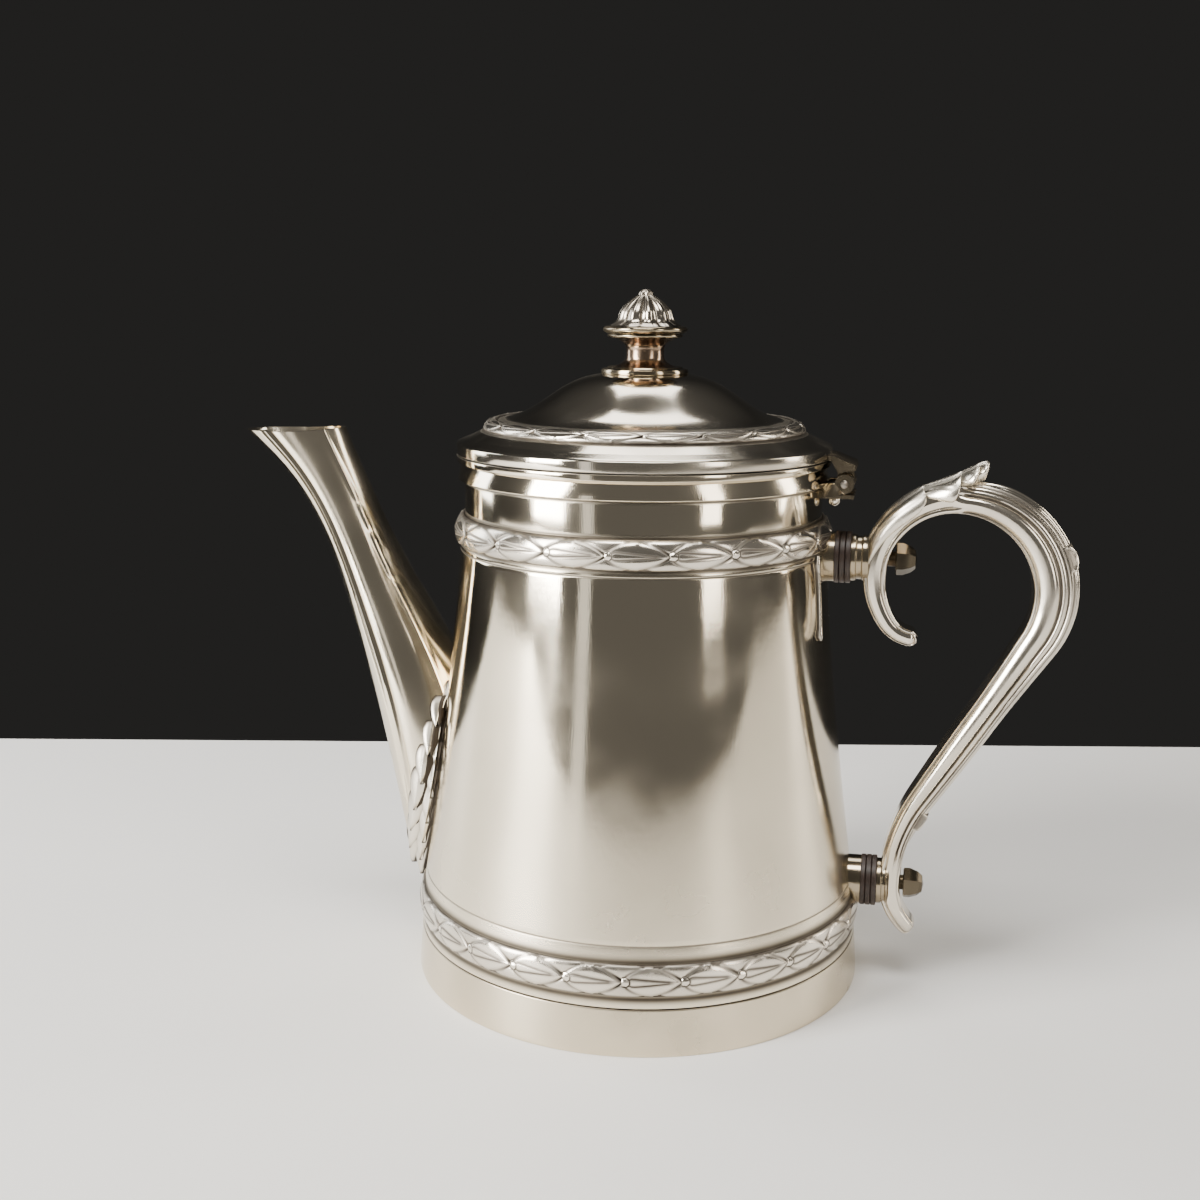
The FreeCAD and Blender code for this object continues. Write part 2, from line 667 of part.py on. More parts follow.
def spine_at(distance):
    """Point and unit direction of the spine at a distance from the curl's tip."""
    for piece, length in zip(SPINE, LENGTHS):
        if distance <= length + 1e-9:
            break
        distance -= length
    share = min(distance / length, 1.0)
    if piece[0] == "line":
        return piece[1] + (piece[2] - piece[1]) * share, (piece[2] - piece[1]).normalize()
    centre, radius, first, last = piece[1:]
    angle = first + (last - first) * share
    way = 1.0 if last > first else -1.0
    outward = Vector(math.cos(angle), 0, math.sin(angle))
    return centre + outward * radius, Vector(-outward.z, 0, outward.x) * way


TOTAL = sum(LENGTHS)
SOCKET_AT = LENGTHS[0] + size("scroll_left_radius") * math.radians(CURL_END - size("socket_angle"))
ARCH_AT = LENGTHS[0] + LENGTHS[1] + size("scroll_right_radius") * math.pi / 2
GRIP_AT = sum(LENGTHS[:3]) + LENGTHS[3] / 2
HEEL_AT = sum(LENGTHS[:5])


def eased(distance, keys):
    """A value between named keys along the spine, easing in and out at each key."""
    for (first, low), (last, high) in zip(keys, keys[1:]):
        if distance <= last + 1e-9:
            share = (distance - first) / (last - first)
            return low + (high - low) * (1 - math.cos(math.pi * share)) / 2
    return keys[-1][1]


THICKNESS_KEYS = ((0.0, size("handle_tip_thickness")), (SOCKET_AT, size("handle_limb_thickness")),
                  (ARCH_AT, size("handle_arch_thickness")), (GRIP_AT, size("handle_grip_thickness")),
                  (HEEL_AT, size("handle_heel_thickness")), (TOTAL, size("handle_tip_thickness")))
WIDTH_KEYS = ((0.0, size("handle_end_width")), (ARCH_AT, size("handle_width")),
              (GRIP_AT, size("handle_width")), (TOTAL, size("handle_end_width")))


def handle_oval(distance, offset, thickness, width):
    """A section across the spine; offset moves it towards the handle's back."""
    point, way = spine_at(distance)
    back = Vector(way.z, 0, -way.x) * -1
    return oval(point + back * offset, back * (thickness / 2), Vector(0, width / 2, 0))


HANDLE_SECTIONS = 25


def handle_solid(margin):
    """The handle's form along its spine, grown by margin on every side."""
    wires = []
    for index in range(HANDLE_SECTIONS):
        distance = TOTAL * index / (HANDLE_SECTIONS - 1)
        wires.append(handle_oval(distance, 0.0, eased(distance, THICKNESS_KEYS) + 2 * margin,
                                 eased(distance, WIDTH_KEYS) + 2 * margin))
    return Part.makeLoft(wires, True, False)


handle_form = solid("handle_form", handle_solid(0.0))
handle_room = solid("handle_room", handle_solid(size("seat_clearance")))
node("handle", cut("handle", handle_form, upper_hole, lower_hole))
node("upper_handle_ferrule", cut("upper_handle_ferrule", upper_ferrule, upper_hole, handle_room))
node("lower_handle_ferrule", cut("lower_handle_ferrule", lower_ferrule, lower_hole, handle_room))


STRIP_SECTIONS = 5


# Reeds: a strip of reeding laid along the handle's back, held by two ties.
def back_strip(label, first, last, thickness, width):
    """A strip on the handle's back between two distances along the spine."""
    wires = []
    for index in range(STRIP_SECTIONS):
        distance = first + (last - first) * index / (STRIP_SECTIONS - 1)
        edge = eased(distance, THICKNESS_KEYS) / 2
        wires.append(handle_oval(distance, edge - thickness * 0.5, thickness * 3, width))
    return solid(label, Part.makeLoft(wires, True, False))


REED_START_SHARE, REED_END_SHARE = 0.42, 0.5
reed_start = LENGTHS[0] + LENGTHS[1] + LENGTHS[2] * REED_START_SHARE
reed_end = sum(LENGTHS[:4]) + LENGTHS[4] * REED_END_SHARE
tie_length = size("tie_length")
tie_starts = (reed_start + tie_length, sum(LENGTHS[:4]) + tie_length)
reed_runs = ((reed_start, tie_starts[0]), (tie_starts[0] + tie_length, tie_starts[1]),
             (tie_starts[1] + tie_length, reed_end))
reed_forms = [back_strip("reed_form", first, last, size("reed_thickness"), size("reed_width"))
              for first, last in reed_runs]
tie_forms = [back_strip("tie_form", first, first + tie_length, size("tie_thickness"), size("tie_width"))
             for first in tie_starts]
node("handle_reeds", cut("handle_reeds", joined("reed_runs", *reed_forms), handle_room))
node("handle_ties", cut("handle_ties", joined("tie_pair", *tie_forms), handle_room))

# Thumb leaf: a cast leaf lying over the top of the scroll with its tip turned up.
leaf_first = SOCKET_AT + size("leaf_start")
leaf_last = LENGTHS[0] + LENGTHS[1] + size("leaf_overrun")
LEAF_SECTIONS = 7
leaf_wires = []
for index in range(LEAF_SECTIONS):
    share = index / (LEAF_SECTIONS - 1)
    distance = leaf_first + (leaf_last - leaf_first) * share
    edge = eased(distance, THICKNESS_KEYS) / 2
    spread = size("leaf_width") * (0.25 + 0.75 * math.sin(math.pi * (0.15 + 0.75 * share)))
    rise = size("leaf_lift") * share ** 4
    leaf_wires.append(handle_oval(distance, edge + rise + size("leaf_thickness") * 0.3,
                                  size("leaf_thickness") * 2, spread))
leaf_form = solid("leaf_form", Part.makeLoft(leaf_wires, True, False))
node("thumb_leaf", cut("thumb_leaf", leaf_form, handle_room))

# Ribbon tails: two ribbon ends on the wall, one each side of the upper socket.
ribbon_sheets = []
for side in (-1, 1):
    turn = Rotation(Vector(0, 0, 1), side * size("ribbon_angle"))
    half = size("ribbon_width") / 2
    top = size("upper_band_bottom") - size("ribbon_gap")
    bottom = size("ribbon_bottom") + size("ribbon_end_radius")
    strip = Part.makeBox(size("base_radius"), 2 * half, top - bottom, Vector(0, -half, bottom))
    end = Part.makeCylinder(size("ribbon_end_radius"), size("base_radius"), Vector(0, 0, bottom),
                            Vector(1, 0, 0))
    sheet_shape = strip.fuse(end).removeSplitter()
    sheet_shape.Placement = Placement(Vector(), turn)
    ribbon_sheets.append(sheet_shape)
ribbon_form = solid("ribbon_form", Part.makeCompound(ribbon_sheets))
ribbon_blank = shared("ribbon_blank", ribbon_form, skin("ribbon_skin", "ribbon_depth"))
node("ribbon_tails", cut("ribbon_tails", ribbon_blank, envelope))

# Hinge: two knuckles on a bracket at the rim, one on the lid's leaf, and a through pin.
knuckle_start = "knuckle_length / 2 + knuckle_gap"
knuckle_end = "1.5 * knuckle_length + knuckle_gap"
pin_way = rod("hinge_pin_way", "hinge_pin_radius + hinge_clearance", "hinge_reach",
              "4 * knuckle_length", "hinge_height", turn=ALONG_Y, depth="-2 * knuckle_length")
bracket_pieces = []
for depth in ("-(%s)" % knuckle_end, knuckle_start):
    bracket_pieces.append(rod("bracket_knuckle", "knuckle_radius", "hinge_reach", "knuckle_length",
                              "hinge_height", turn=ALONG_Y, depth=depth))
    bracket_pieces.append(block(
        "bracket_cheek", ("neck_radius - 2 * wall", depth, "hinge_plate_bottom"),
        ("hinge_reach", "%s + knuckle_length" % depth, "hinge_height")))
bracket_pieces.append(block(
    "bracket_plate", ("neck_radius - 2 * wall", "-(%s)" % knuckle_end, "hinge_plate_bottom"),
    ("hinge_reach + knuckle_radius", knuckle_end, "hinge_height - knuckle_radius - knuckle_gap")))
bracket_blank = joined("bracket_blank", *bracket_pieces)
node("hinge_bracket", cut("hinge_bracket", bracket_blank, envelope, NODES["rim_moulding"], pin_way))
node("hinge_pin", rod("hinge_pin", "hinge_pin_radius", "hinge_reach", "2 * (%s + hinge_pin_end)" % knuckle_end,
                      "hinge_height", turn=ALONG_Y, depth="-(%s) - hinge_pin_end" % knuckle_end))
leaf_knuckle = rod("leaf_knuckle", "knuckle_radius", "hinge_reach", "knuckle_length", "hinge_height",
                   turn=ALONG_Y, depth="-knuckle_length / 2")
leaf_post = block("leaf_post", ("hinge_reach - 0.6 * knuckle_radius", "-knuckle_length / 2", "hinge_height"),
                  ("hinge_reach + knuckle_radius - hinge_leaf_setback", "knuckle_length / 2",
                   "lid_seat + hinge_leaf_thickness"))
leaf_arm = block("leaf_arm", ("rim_radius - 2 * hinge_leaf_overlap", "-(%s)" % knuckle_end, "lid_seat"),
                 ("hinge_reach + knuckle_radius - hinge_leaf_setback", knuckle_end,
                  "lid_seat + hinge_leaf_thickness"))
leaf_blank = joined("leaf_blank", leaf_knuckle, leaf_post, leaf_arm)
node("lid_hinge_leaf", cut("lid_hinge_leaf", leaf_blank, NODES["lid_shell"], pin_way))
hinge_drop = doc.addObject("Part::Sphere", "hinge_drop_ball")
hinge_drop.setExpression("Radius", bound("hinge_drop_radius"))
hinge_drop.setExpression("Placement.Base.x", bound("neck_radius + 2 * hinge_drop_radius"))
hinge_drop.setExpression("Placement.Base.z", bound("hinge_plate_bottom - hinge_drop_radius * 0.8"))
node("hinge_drop", cut("hinge_drop", hinge_drop, NODES["hinge_bracket"]))

doc.recompute()

for item in doc.Objects:
    if "Invalid" in item.State or "Error" in item.State:
        raise RuntimeError("%s did not build: %s" % (item.Label, item.State))
for label, made in NODES.items():
    if made.Shape.isNull() or not made.Shape.isValid() or not made.Shape.Solids:
        raise RuntimeError("%s has no valid solid" % label)

os.makedirs("parts", exist_ok=True)
for label, made in NODES.items():
    made.Shape.exportStep("parts/%s.step" % label)
    print("%-22s %d solid(s) %10.1f mm3" % (label, len(made.Shape.Solids), made.Shape.Volume))
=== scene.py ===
import math

import bmesh
import bpy
import numpy as np
from mathutils import Matrix, Vector


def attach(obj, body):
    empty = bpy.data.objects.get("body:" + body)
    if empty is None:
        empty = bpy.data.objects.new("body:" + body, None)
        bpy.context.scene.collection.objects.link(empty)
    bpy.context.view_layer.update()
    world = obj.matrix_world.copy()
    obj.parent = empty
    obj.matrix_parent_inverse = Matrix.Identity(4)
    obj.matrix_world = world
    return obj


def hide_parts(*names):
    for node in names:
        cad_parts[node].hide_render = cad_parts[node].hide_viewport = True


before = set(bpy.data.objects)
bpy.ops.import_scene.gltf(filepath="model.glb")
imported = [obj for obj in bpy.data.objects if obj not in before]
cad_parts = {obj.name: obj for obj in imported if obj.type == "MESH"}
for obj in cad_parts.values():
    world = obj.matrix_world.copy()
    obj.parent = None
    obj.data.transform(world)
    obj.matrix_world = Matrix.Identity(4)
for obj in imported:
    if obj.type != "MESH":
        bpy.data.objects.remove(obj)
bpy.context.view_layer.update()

# Body wall: one raised sheet of silver plate, slightly hollow up its height, with a straight neck.
# It is polished to a mirror above and worn satin below, and two fine lines are engraved round it.
MM = 0.001
WALL = 1.2
FOOT_TOP, LOW_WALL, SHOULDER = (61.1, 12.3), (60.4, 24.0), (49.3, 119.0)
NECK, RIM = (48.0, 127.8), (48.0, 143.2)
WALL_CURVE = 1400.0
WALL_START = FOOT_TOP[1] + 0.25
LOW_LINE, HIGH_LINE, LINE_DEPTH, LINE_HALF_WIDTH = 28.2, 118.2, 0.16, 0.28
ROUND_STEPS = 288


def wall_radius(height):
    """Outer radius of the wall: a shallow hollow arc from the lower wall to the shoulder, cones beyond."""
    chord = np.array([SHOULDER[0] - LOW_WALL[0], SHOULDER[1] - LOW_WALL[1]])
    half = np.hypot(*chord) / 2
    away = np.array([chord[1], -chord[0]]) / (2 * half)
    middle = (np.array(LOW_WALL) + np.array(SHOULDER)) / 2
    centre = middle + away * math.sqrt(WALL_CURVE ** 2 - half ** 2)
    hollow = centre[0] - np.sqrt(np.maximum(WALL_CURVE ** 2 - (height - centre[1]) ** 2, 0.0))
    low = np.interp(height, [FOOT_TOP[1], LOW_WALL[1]], [FOOT_TOP[0], LOW_WALL[0]])
    high = np.interp(height, [SHOULDER[1], NECK[1]], [SHOULDER[0], NECK[0]])
    return np.where(height < LOW_WALL[1], low, np.where(height > SHOULDER[1], high, hollow))


def smoothed(mesh, gap, sharp, turn_out=False):
    """An object for a mesh: points nearer than gap in metres are merged, and faces are shaded smooth except
    across edges sharper than an angle. With turn_out the faces are turned outwards."""
    work = bmesh.new()
    work.from_mesh(mesh)
    bmesh.ops.remove_doubles(work, verts=work.verts, dist=gap)
    if turn_out:
        bmesh.ops.recalc_face_normals(work, faces=work.faces)
    work.to_mesh(mesh)
    work.free()
    mesh.shade_smooth()
    mesh.set_sharp_from_angle(angle=math.radians(sharp))
    piece = bpy.data.objects.new(mesh.name, mesh)
    bpy.context.collection.objects.link(piece)
    return piece


def surface(name, points, wrap_rows=False, wrap_columns=False, hollow=None, sharp=38.0):
    """A mesh through a grid of points in millimetres. Neighbours share a face, the grid closes on itself
    where it is wrapped, and faces are turned outwards by the sign of the volume that they enclose."""
    rows, columns = points.shape[:2]
    index = np.arange(rows * columns).reshape(rows, columns)
    below = np.roll(index, -1, axis=0)
    faces = np.stack([index, below, np.roll(below, -1, axis=1), np.roll(index, -1, axis=1)], axis=-1)
    faces = faces[:rows if wrap_rows else rows - 1, :columns if wrap_columns else columns - 1].reshape(-1, 4)
    place = points.reshape(-1, 3) * MM
    first, second, third, fourth = (place[faces[:, corner]] for corner in range(4))
    volume = np.sum(first * np.cross(second, third)) + np.sum(first * np.cross(third, fourth))
    if volume < 0:
        faces = faces[:, ::-1]
    mesh = bpy.data.meshes.new(name)
    mesh.from_pydata(place.tolist(), [], faces.tolist())
    if hollow is not None:
        mesh.attributes.new("hollow", "FLOAT", "POINT").data.foreach_set("value", hollow.ravel())
    return smoothed(mesh, 1e-7, sharp)


def eased_outline(corners, radius, steps=5):
    """A closed outline with every corner replaced by a short curve of about the given radius."""
    corners = np.asarray(corners, float)
    back, ahead = np.roll(corners, 1, axis=0) - corners, np.roll(corners, -1, axis=0) - corners

    def share(side):
        return np.minimum(radius / np.maximum(np.linalg.norm(side, axis=1), 1e-9), 0.45)[:, None]

    start, stop = corners + back * share(back), corners + ahead * share(ahead)
    t = np.linspace(0, 1, steps)[None, :, None]
    curve = (1 - t) ** 2 * start[:, None] + 2 * t * (1 - t) * corners[:, None] + t ** 2 * stop[:, None]
    return curve.reshape(-1, 2)


def turned(name, outline, segments=224):
    """A closed outline of (radius, height) carried round the Z axis."""
    angle = np.linspace(0, 2 * np.pi, segments, endpoint=False)[:, None]
    radius, height = outline[None, :, 0], outline[None, :, 1]
    points = np.stack([radius * np.cos(angle), radius * np.sin(angle), height + 0 * angle], axis=-1)
    return surface(name, points, wrap_rows=True, wrap_columns=True)


def shader_node(tree, kind, inputs, **settings):
    """A new node of a kind in a node tree. Each input, by its name or number, gets a constant, or a wire from
    another node's output."""
    made = tree.nodes.new("ShaderNode" + kind)
    for setting, value in settings.items():
        setattr(made, setting, value)
    for socket, value in inputs.items():
        if isinstance(value, bpy.types.NodeSocket):
            tree.links.new(value, made.inputs[socket])
        else:
            made.inputs[socket].default_value = value
    return made


def ranged(tree, value, start, stop, low, high, soft=False):
    """The output of a node that maps a value from start..stop to low..high, eased at both ends if soft."""
    inputs = {"Value": value, "From Min": start, "From Max": stop, "To Min": low, "To Max": high}
    return shader_node(tree, "MapRange", inputs,
                       interpolation_type="SMOOTHSTEP" if soft else "LINEAR").outputs["Result"]


def worked(tree, operation, *inputs, clamp=False):
    """The output of a node that does one sum on its inputs."""
    made = shader_node(tree, "Math", dict(enumerate(inputs)), operation=operation, use_clamp=clamp)
    return made.outputs["Value"]


def noise(tree, place, scale, detail):
    """The output of a noise pattern over places."""
    return shader_node(tree, "TexNoise", {"Vector": place, "Scale": scale, "Detail": detail}).outputs["Fac"]


def mixed(tree, share, first, second):
    """The output of a mix of two colours."""
    inputs = {"Factor": share, "A": (*first, 1.0), "B": (*second, 1.0)}
    return shader_node(tree, "Mix", inputs, data_type="RGBA").outputs["Result"]


def finish(material, metallic, colour, roughness, height, strength, distance):
    """Wires colour, roughness and a bump height into a material's shader."""
    tree = material.node_tree
    bump = shader_node(tree, "Bump", {"Height": height, "Strength": strength, "Distance": distance})
    shader = tree.nodes["Principled BSDF"]
    shader.inputs["Metallic"].default_value = metallic
    tree.links.new(colour, shader.inputs["Base Color"])
    tree.links.new(roughness, shader.inputs["Roughness"])
    tree.links.new(bump.outputs["Normal"], shader.inputs["Normal"])
    return material


def new_material(name):
    """A new material with the standard shader, and its node tree."""
    material = bpy.data.materials.new(name)
    material.use_nodes = True
    return material, material.node_tree


STAIN_TONE, STAIN_DULLNESS, FULL_STAIN = (0.018, 0.011, 0.006), 0.35, 0.96
CLOUD_SCALE, HAIR_SCALE, HAIR_DEPTH = 45.0, 2600.0, 0.00003


def silver(name, tone, roughness, tarnish=0.0, satin_below=None, scratches=0.25, lines=()):
    """Silver plate: a metal whose gloss varies in soft clouds, with hairline scratches in its bump and brown
    tarnish where the 'hollow' attribute is high, and round the heights in lines, each a height, a half width
    and a strength. satin_below dulls it: fully at its first height, not at its second, by its third value."""
    material, tree = new_material(name)
    place = shader_node(tree, "TexCoord", {}).outputs["Object"]
    height = shader_node(tree, "SeparateXYZ", {"Vector": place}).outputs["Z"]
    cloud = noise(tree, place, CLOUD_SCALE, 5.0)
    rough = ranged(tree, cloud, 0.35, 0.70, *roughness)
    if satin_below:
        low, high, dulling = satin_below
        rough = worked(tree, "ADD", rough, ranged(tree, height, high * MM, low * MM, 0.0, dulling, soft=True))
    dark = shader_node(tree, "Attribute", {}, attribute_name="hollow").outputs["Fac"]
    for level, half_width, strength in lines:
        away = worked(tree, "ABSOLUTE", worked(tree, "SUBTRACT", height, level * MM))
        dark = worked(tree, "MAXIMUM", dark, ranged(tree, away, half_width * MM, 0.0, 0.0, strength, soft=True))
    film = ranged(tree, cloud, 0.50, 0.80, 0.0, tarnish)
    stain = worked(tree, "MULTIPLY_ADD", dark, FULL_STAIN, film, clamp=True)
    rough = worked(tree, "MULTIPLY_ADD", stain, STAIN_DULLNESS, rough, clamp=True)
    stretch = {"Vector": place, "Rotation": (0.5, 0.35, 0.2), "Scale": (1.0, 1.0, 0.06)}
    hairs = noise(tree, shader_node(tree, "Mapping", stretch).outputs["Vector"], HAIR_SCALE, 3.0)
    return finish(material, 1.0, mixed(tree, stain, tone, STAIN_TONE), rough, hairs, scratches, HAIR_DEPTH)


def fit(piece, body, slot, material, *nodes):
    """Gives a piece its material, makes it move with a body and stand for CAD nodes. slot is not used."""
    piece.data.materials.clear()
    piece.data.materials.append(material)
    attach(piece, body)
    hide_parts(*nodes)


SILVER_TONE = (0.82, 0.73, 0.57)
SATIN_LEVEL, MIRROR_LEVEL = 30.0, 80.0
WALL_STAINS = ((15.0, 2.0, 0.95), (24.4, 2.2, 0.95), (LOW_LINE, 0.5, 0.8), (HIGH_LINE, 0.5, 0.9),
               (119.8, 1.2, 0.9), (127.8, 1.1, 0.9), (136.4, 0.8, 0.9))
wall_silver = silver("wall_silver", SILVER_TONE, (0.05, 0.13), tarnish=0.05,
                     satin_below=(SATIN_LEVEL, MIRROR_LEVEL, 0.17), lines=WALL_STAINS)


def engraved(height):
    """Outline points of a fine line cut into the wall at a height."""
    levels = height + LINE_HALF_WIDTH * np.array([-1.0, 0.0, 1.0])
    return np.stack([wall_radius(levels) - LINE_DEPTH * np.array([0.0, 1.0, 0.0]), levels], axis=-1)


climb = np.concatenate([[WALL_START, LOW_WALL[1]], np.linspace(30.0, 117.0, 42)])
outside = np.concatenate([np.stack([wall_radius(climb), climb], axis=-1), engraved(LOW_LINE),
                          engraved(HIGH_LINE), [SHOULDER, NECK, RIM]])
outside = outside[np.argsort(outside[:, 1])]
inside_levels = np.linspace(RIM[1], WALL_START, 40)
inside = np.stack([wall_radius(inside_levels) - WALL, inside_levels], axis=-1)
body_wall = turned("body_wall", eased_outline(np.concatenate([outside, inside]), 0.12, 3), ROUND_STEPS)
fit(body_wall, "pot", "silver_plate", wall_silver, "body_shell")

# Foot: a plain turned skirt that the pot stands on, soldered under the wall, with the bottom let in.
# Its lower edge is worn, and a dark seam shows where it meets the wall.
foot_silver = silver("foot_silver", (0.70, 0.61, 0.46), (0.14, 0.25), tarnish=0.16, lines=((12.3, 0.6, 1.0),))
FOOT_RADIUS, FOOT_HEIGHT, BOTTOM_RADIUS, BOTTOM_LEVEL, BOTTOM_THICKNESS = 62.0, 12.25, 59.2, 8.0, 1.5
foot_outline = eased_outline([(60.0, 0.0), (FOOT_RADIUS, 0.0), (FOOT_RADIUS, 1.2), (61.15, 12.0),
                              (60.85, FOOT_HEIGHT), (59.1, FOOT_HEIGHT), (59.5, BOTTOM_LEVEL)], 0.25)
fit(turned("foot_ring_skirt", foot_outline, ROUND_STEPS), "pot", "silver_plate", foot_silver, "foot_ring")
bottom_top = BOTTOM_LEVEL + BOTTOM_THICKNESS
bottom_outline = eased_outline([(0.0, BOTTOM_LEVEL), (BOTTOM_RADIUS, BOTTOM_LEVEL), (BOTTOM_RADIUS, bottom_top),
                                (0.0, bottom_top)], 0.02)
fit(turned("bottom_disc", bottom_outline), "pot", "silver_plate", foot_silver, "bottom_plate")

# Rim: a hollow moulding under a square strip that the lid closes on.
# It is drawn from silver wire and soldered round the neck, with dark solder lines above and below.
RIM_FOOT, STRIP_RADIUS = 136.6, 50.1
HOLLOW_RADIUS, HOLLOW_DEPTH, HOLLOW_FOOT, HOLLOW_RISE = 49.75, 1.2, 137.0, 4.4
rim_silver = silver("rim_silver", SILVER_TONE, (0.06, 0.13), tarnish=0.08,
                    lines=((143.3, 0.4, 1.0), (RIM_FOOT, 0.4, 0.8)))
sweep = np.linspace(0.0, np.pi / 2, 9)
cavetto = np.stack([HOLLOW_RADIUS - HOLLOW_DEPTH * np.cos(sweep[::-1]) ** 1.4,
                    HOLLOW_FOOT + HOLLOW_RISE * np.sin(sweep)], axis=-1)
rim_outline = np.concatenate([[(NECK[0], RIM_FOOT), (48.6, RIM_FOOT)], cavetto,
                              [(49.8, 141.5), (STRIP_RADIUS, 141.6), (STRIP_RADIUS, RIM[1]), RIM]])
rim_ring = turned("rim_moulding_ring", eased_outline(rim_outline, 0.14), ROUND_STEPS)
fit(rim_ring, "pot", "silver_plate", rim_silver, "rim_moulding")

# Laurel bands: stamped garlands of pointed leaves, soldered round the wall and the lid.
# Each leaf has a midrib, side leaves show behind it, and a berry sits where leaves meet.
laurel_silver = silver("laurel_silver", (0.82, 0.75, 0.64), (0.12, 0.24), tarnish=0.15)


def ridge(value, centre, width):
    """A smooth ridge of height 1 at a centre: exp(-x^2), where x is the distance over a width."""
    return np.exp(-((value - centre) / width) ** 2)


def ramp(value, start, length):
    """A slope that is 0 up to a start, and rises evenly to 1 over a length."""
    return np.clip((value - start) / length, 0, 1)


def domed(share):
    """Height of a round dome over shares of its half width: sqrt(1 - share^2), and 0 beyond its edge."""
    return np.sqrt(np.maximum(1.0 - share ** 2, 0.0))


def garland(along, across, stretch):
    """Relief from 0 to 1 of a laurel garland, and its dark chased lines. along counts leaves, across runs
    from -1 to 1, stretch is a leaf's length over the band's half height. Pointed ovals lie tip to tail, domed,
    with a spindle rib, over rounded side leaves that show above and below each meeting."""
    x = along % 1.0
    wide = np.abs(across)
    half = 0.88 * np.sin(np.pi * x ** 0.86) ** 0.75 + 1e-6
    dome = domed(across / half)
    on_leaf = wide < half
    spindle = 0.24 * np.clip(x / 0.16, 0, 1) * np.clip((0.92 - x) / 0.70, 0, 1) + 1e-6
    rib = 0.13 * domed(across / spindle)
    rib_line = ridge(wide, spindle, 0.095) * np.clip(spindle / 0.05, 0, 1) * on_leaf
    edge_line = ridge(wide, half, 0.145) * np.clip(1.25 - wide, 0, 1)
    fold = np.abs((x + 0.5) % 1.0 - 0.5)
    side_dome = np.sqrt(np.maximum(1.0 - (fold / 0.40) ** 2 - ((wide - 0.62) / 0.42) ** 2, 0.0))
    height = np.where(on_leaf, 0.42 + 0.45 * dome + rib, 0.18 + 0.42 * side_dome)
    tip = np.exp(-(((x - 0.5) * stretch) ** 2 + (wide - 0.90) ** 2) / 0.16 ** 2)
    height = height - 0.12 * edge_line - 0.06 * rib_line + 0.22 * tip
    from_bud = np.hypot((x - 0.04) * stretch, across)
    height = np.maximum(height, 0.92 * domed(from_bud / 0.27))
    ring = ridge(from_bud, 0.30, 0.07)
    ground = 0.85 * np.clip(1.0 - 1.3 * side_dome, 0.2, 1) * ~on_leaf
    line = np.maximum(np.maximum(edge_line, ring), np.maximum(0.9 * rib_line, ground)) * (from_bud > 0.25)
    return height, line


def laurel_band(name, seat, reach, outward, bulge, relief, leaves, per_leaf):
    """A garland carried round Z. seat is the middle of its seat as (radius, height), reach half its width as a
    vector up the seat, outward the seat's normal: the face swells by bulge and carries the relief."""
    turn = np.linspace(0, 1, leaves * per_leaf, endpoint=False)[:, None]
    across = np.concatenate([np.linspace(-1, 1, 45), np.linspace(1, -1, 5)[1:-1]])[None, :]
    front = np.arange(across.shape[1])[None, :] < 45
    stretch = 2 * np.pi * seat[0] / leaves / np.hypot(*reach)
    height, line = garland(turn * leaves, across, stretch)
    edge_fade = np.clip((1.0 - np.abs(across)) * 11.0, 0, 1)
    lift = np.where(front, bulge * np.sqrt(1 - across ** 2 * 0.999) + relief * height * edge_fade, -0.35)
    radius = seat[0] + reach[0] * across + outward[0] * lift
    level = seat[1] + reach[1] * across + outward[1] * lift
    angle = 2 * np.pi * turn
    points = np.stack([radius * np.cos(angle), radius * np.sin(angle), level], axis=-1)
    hollow = np.where(front, np.clip(np.maximum(line, 1.2 * np.abs(across) ** 9), 0, 1), 1.0)
    return surface(name, points, wrap_rows=True, wrap_columns=True, hollow=hollow, sharp=80.0)


upper_band = laurel_band("upper_laurel_garland", (48.7, 123.8), (-0.55, 3.8), (1.0, 0.0), 1.35, 0.9, 20, 92)
fit(upper_band, "pot", "laurel_silver", laurel_silver, "upper_laurel_band")
lower_band = laurel_band("lower_laurel_garland", (60.55, 19.8), (-0.15, 4.2), (1.0, 0.0), 0.65, 0.8, 26, 76)
fit(lower_band, "pot", "laurel_silver", laurel_silver, "lower_laurel_band")

# Spout: a seamed tapering tube from a broad root on the wall to a long lipped mouth.
# A raised band runs down its front, bounded by a fine bead, and its back is flatter.
SPOUT_LEVELS = np.array([17.5, 25.5, 38.0, 53.0, 75.5, 92.0, 108.6, 124.0, 138.4, 147.2])
SPOUT_FRONT = np.array([62.6, 66.0, 68.6, 71.2, 76.6, 81.4, 86.6, 93.4, 104.0, 113.6])
SPOUT_BACK = np.array([55.0, 50.0, 47.0, 46.0, 50.0, 58.0, 67.6, 75.2, 81.6, 85.5])
SPOUT_HALF_WIDTH = np.array([4.5, 10.5, 15.5, 17.4, 16.4, 14.0, 11.3, 9.4, 9.0, 9.0])
SPOUT_WALL = 1.1
BAND_EDGE, BEAD_AT, BACK_BEAD_AT = 1.04, 1.16, 2.35
BACK_BEAD_NOTCHES = (128.0, 120.0, 106.5)


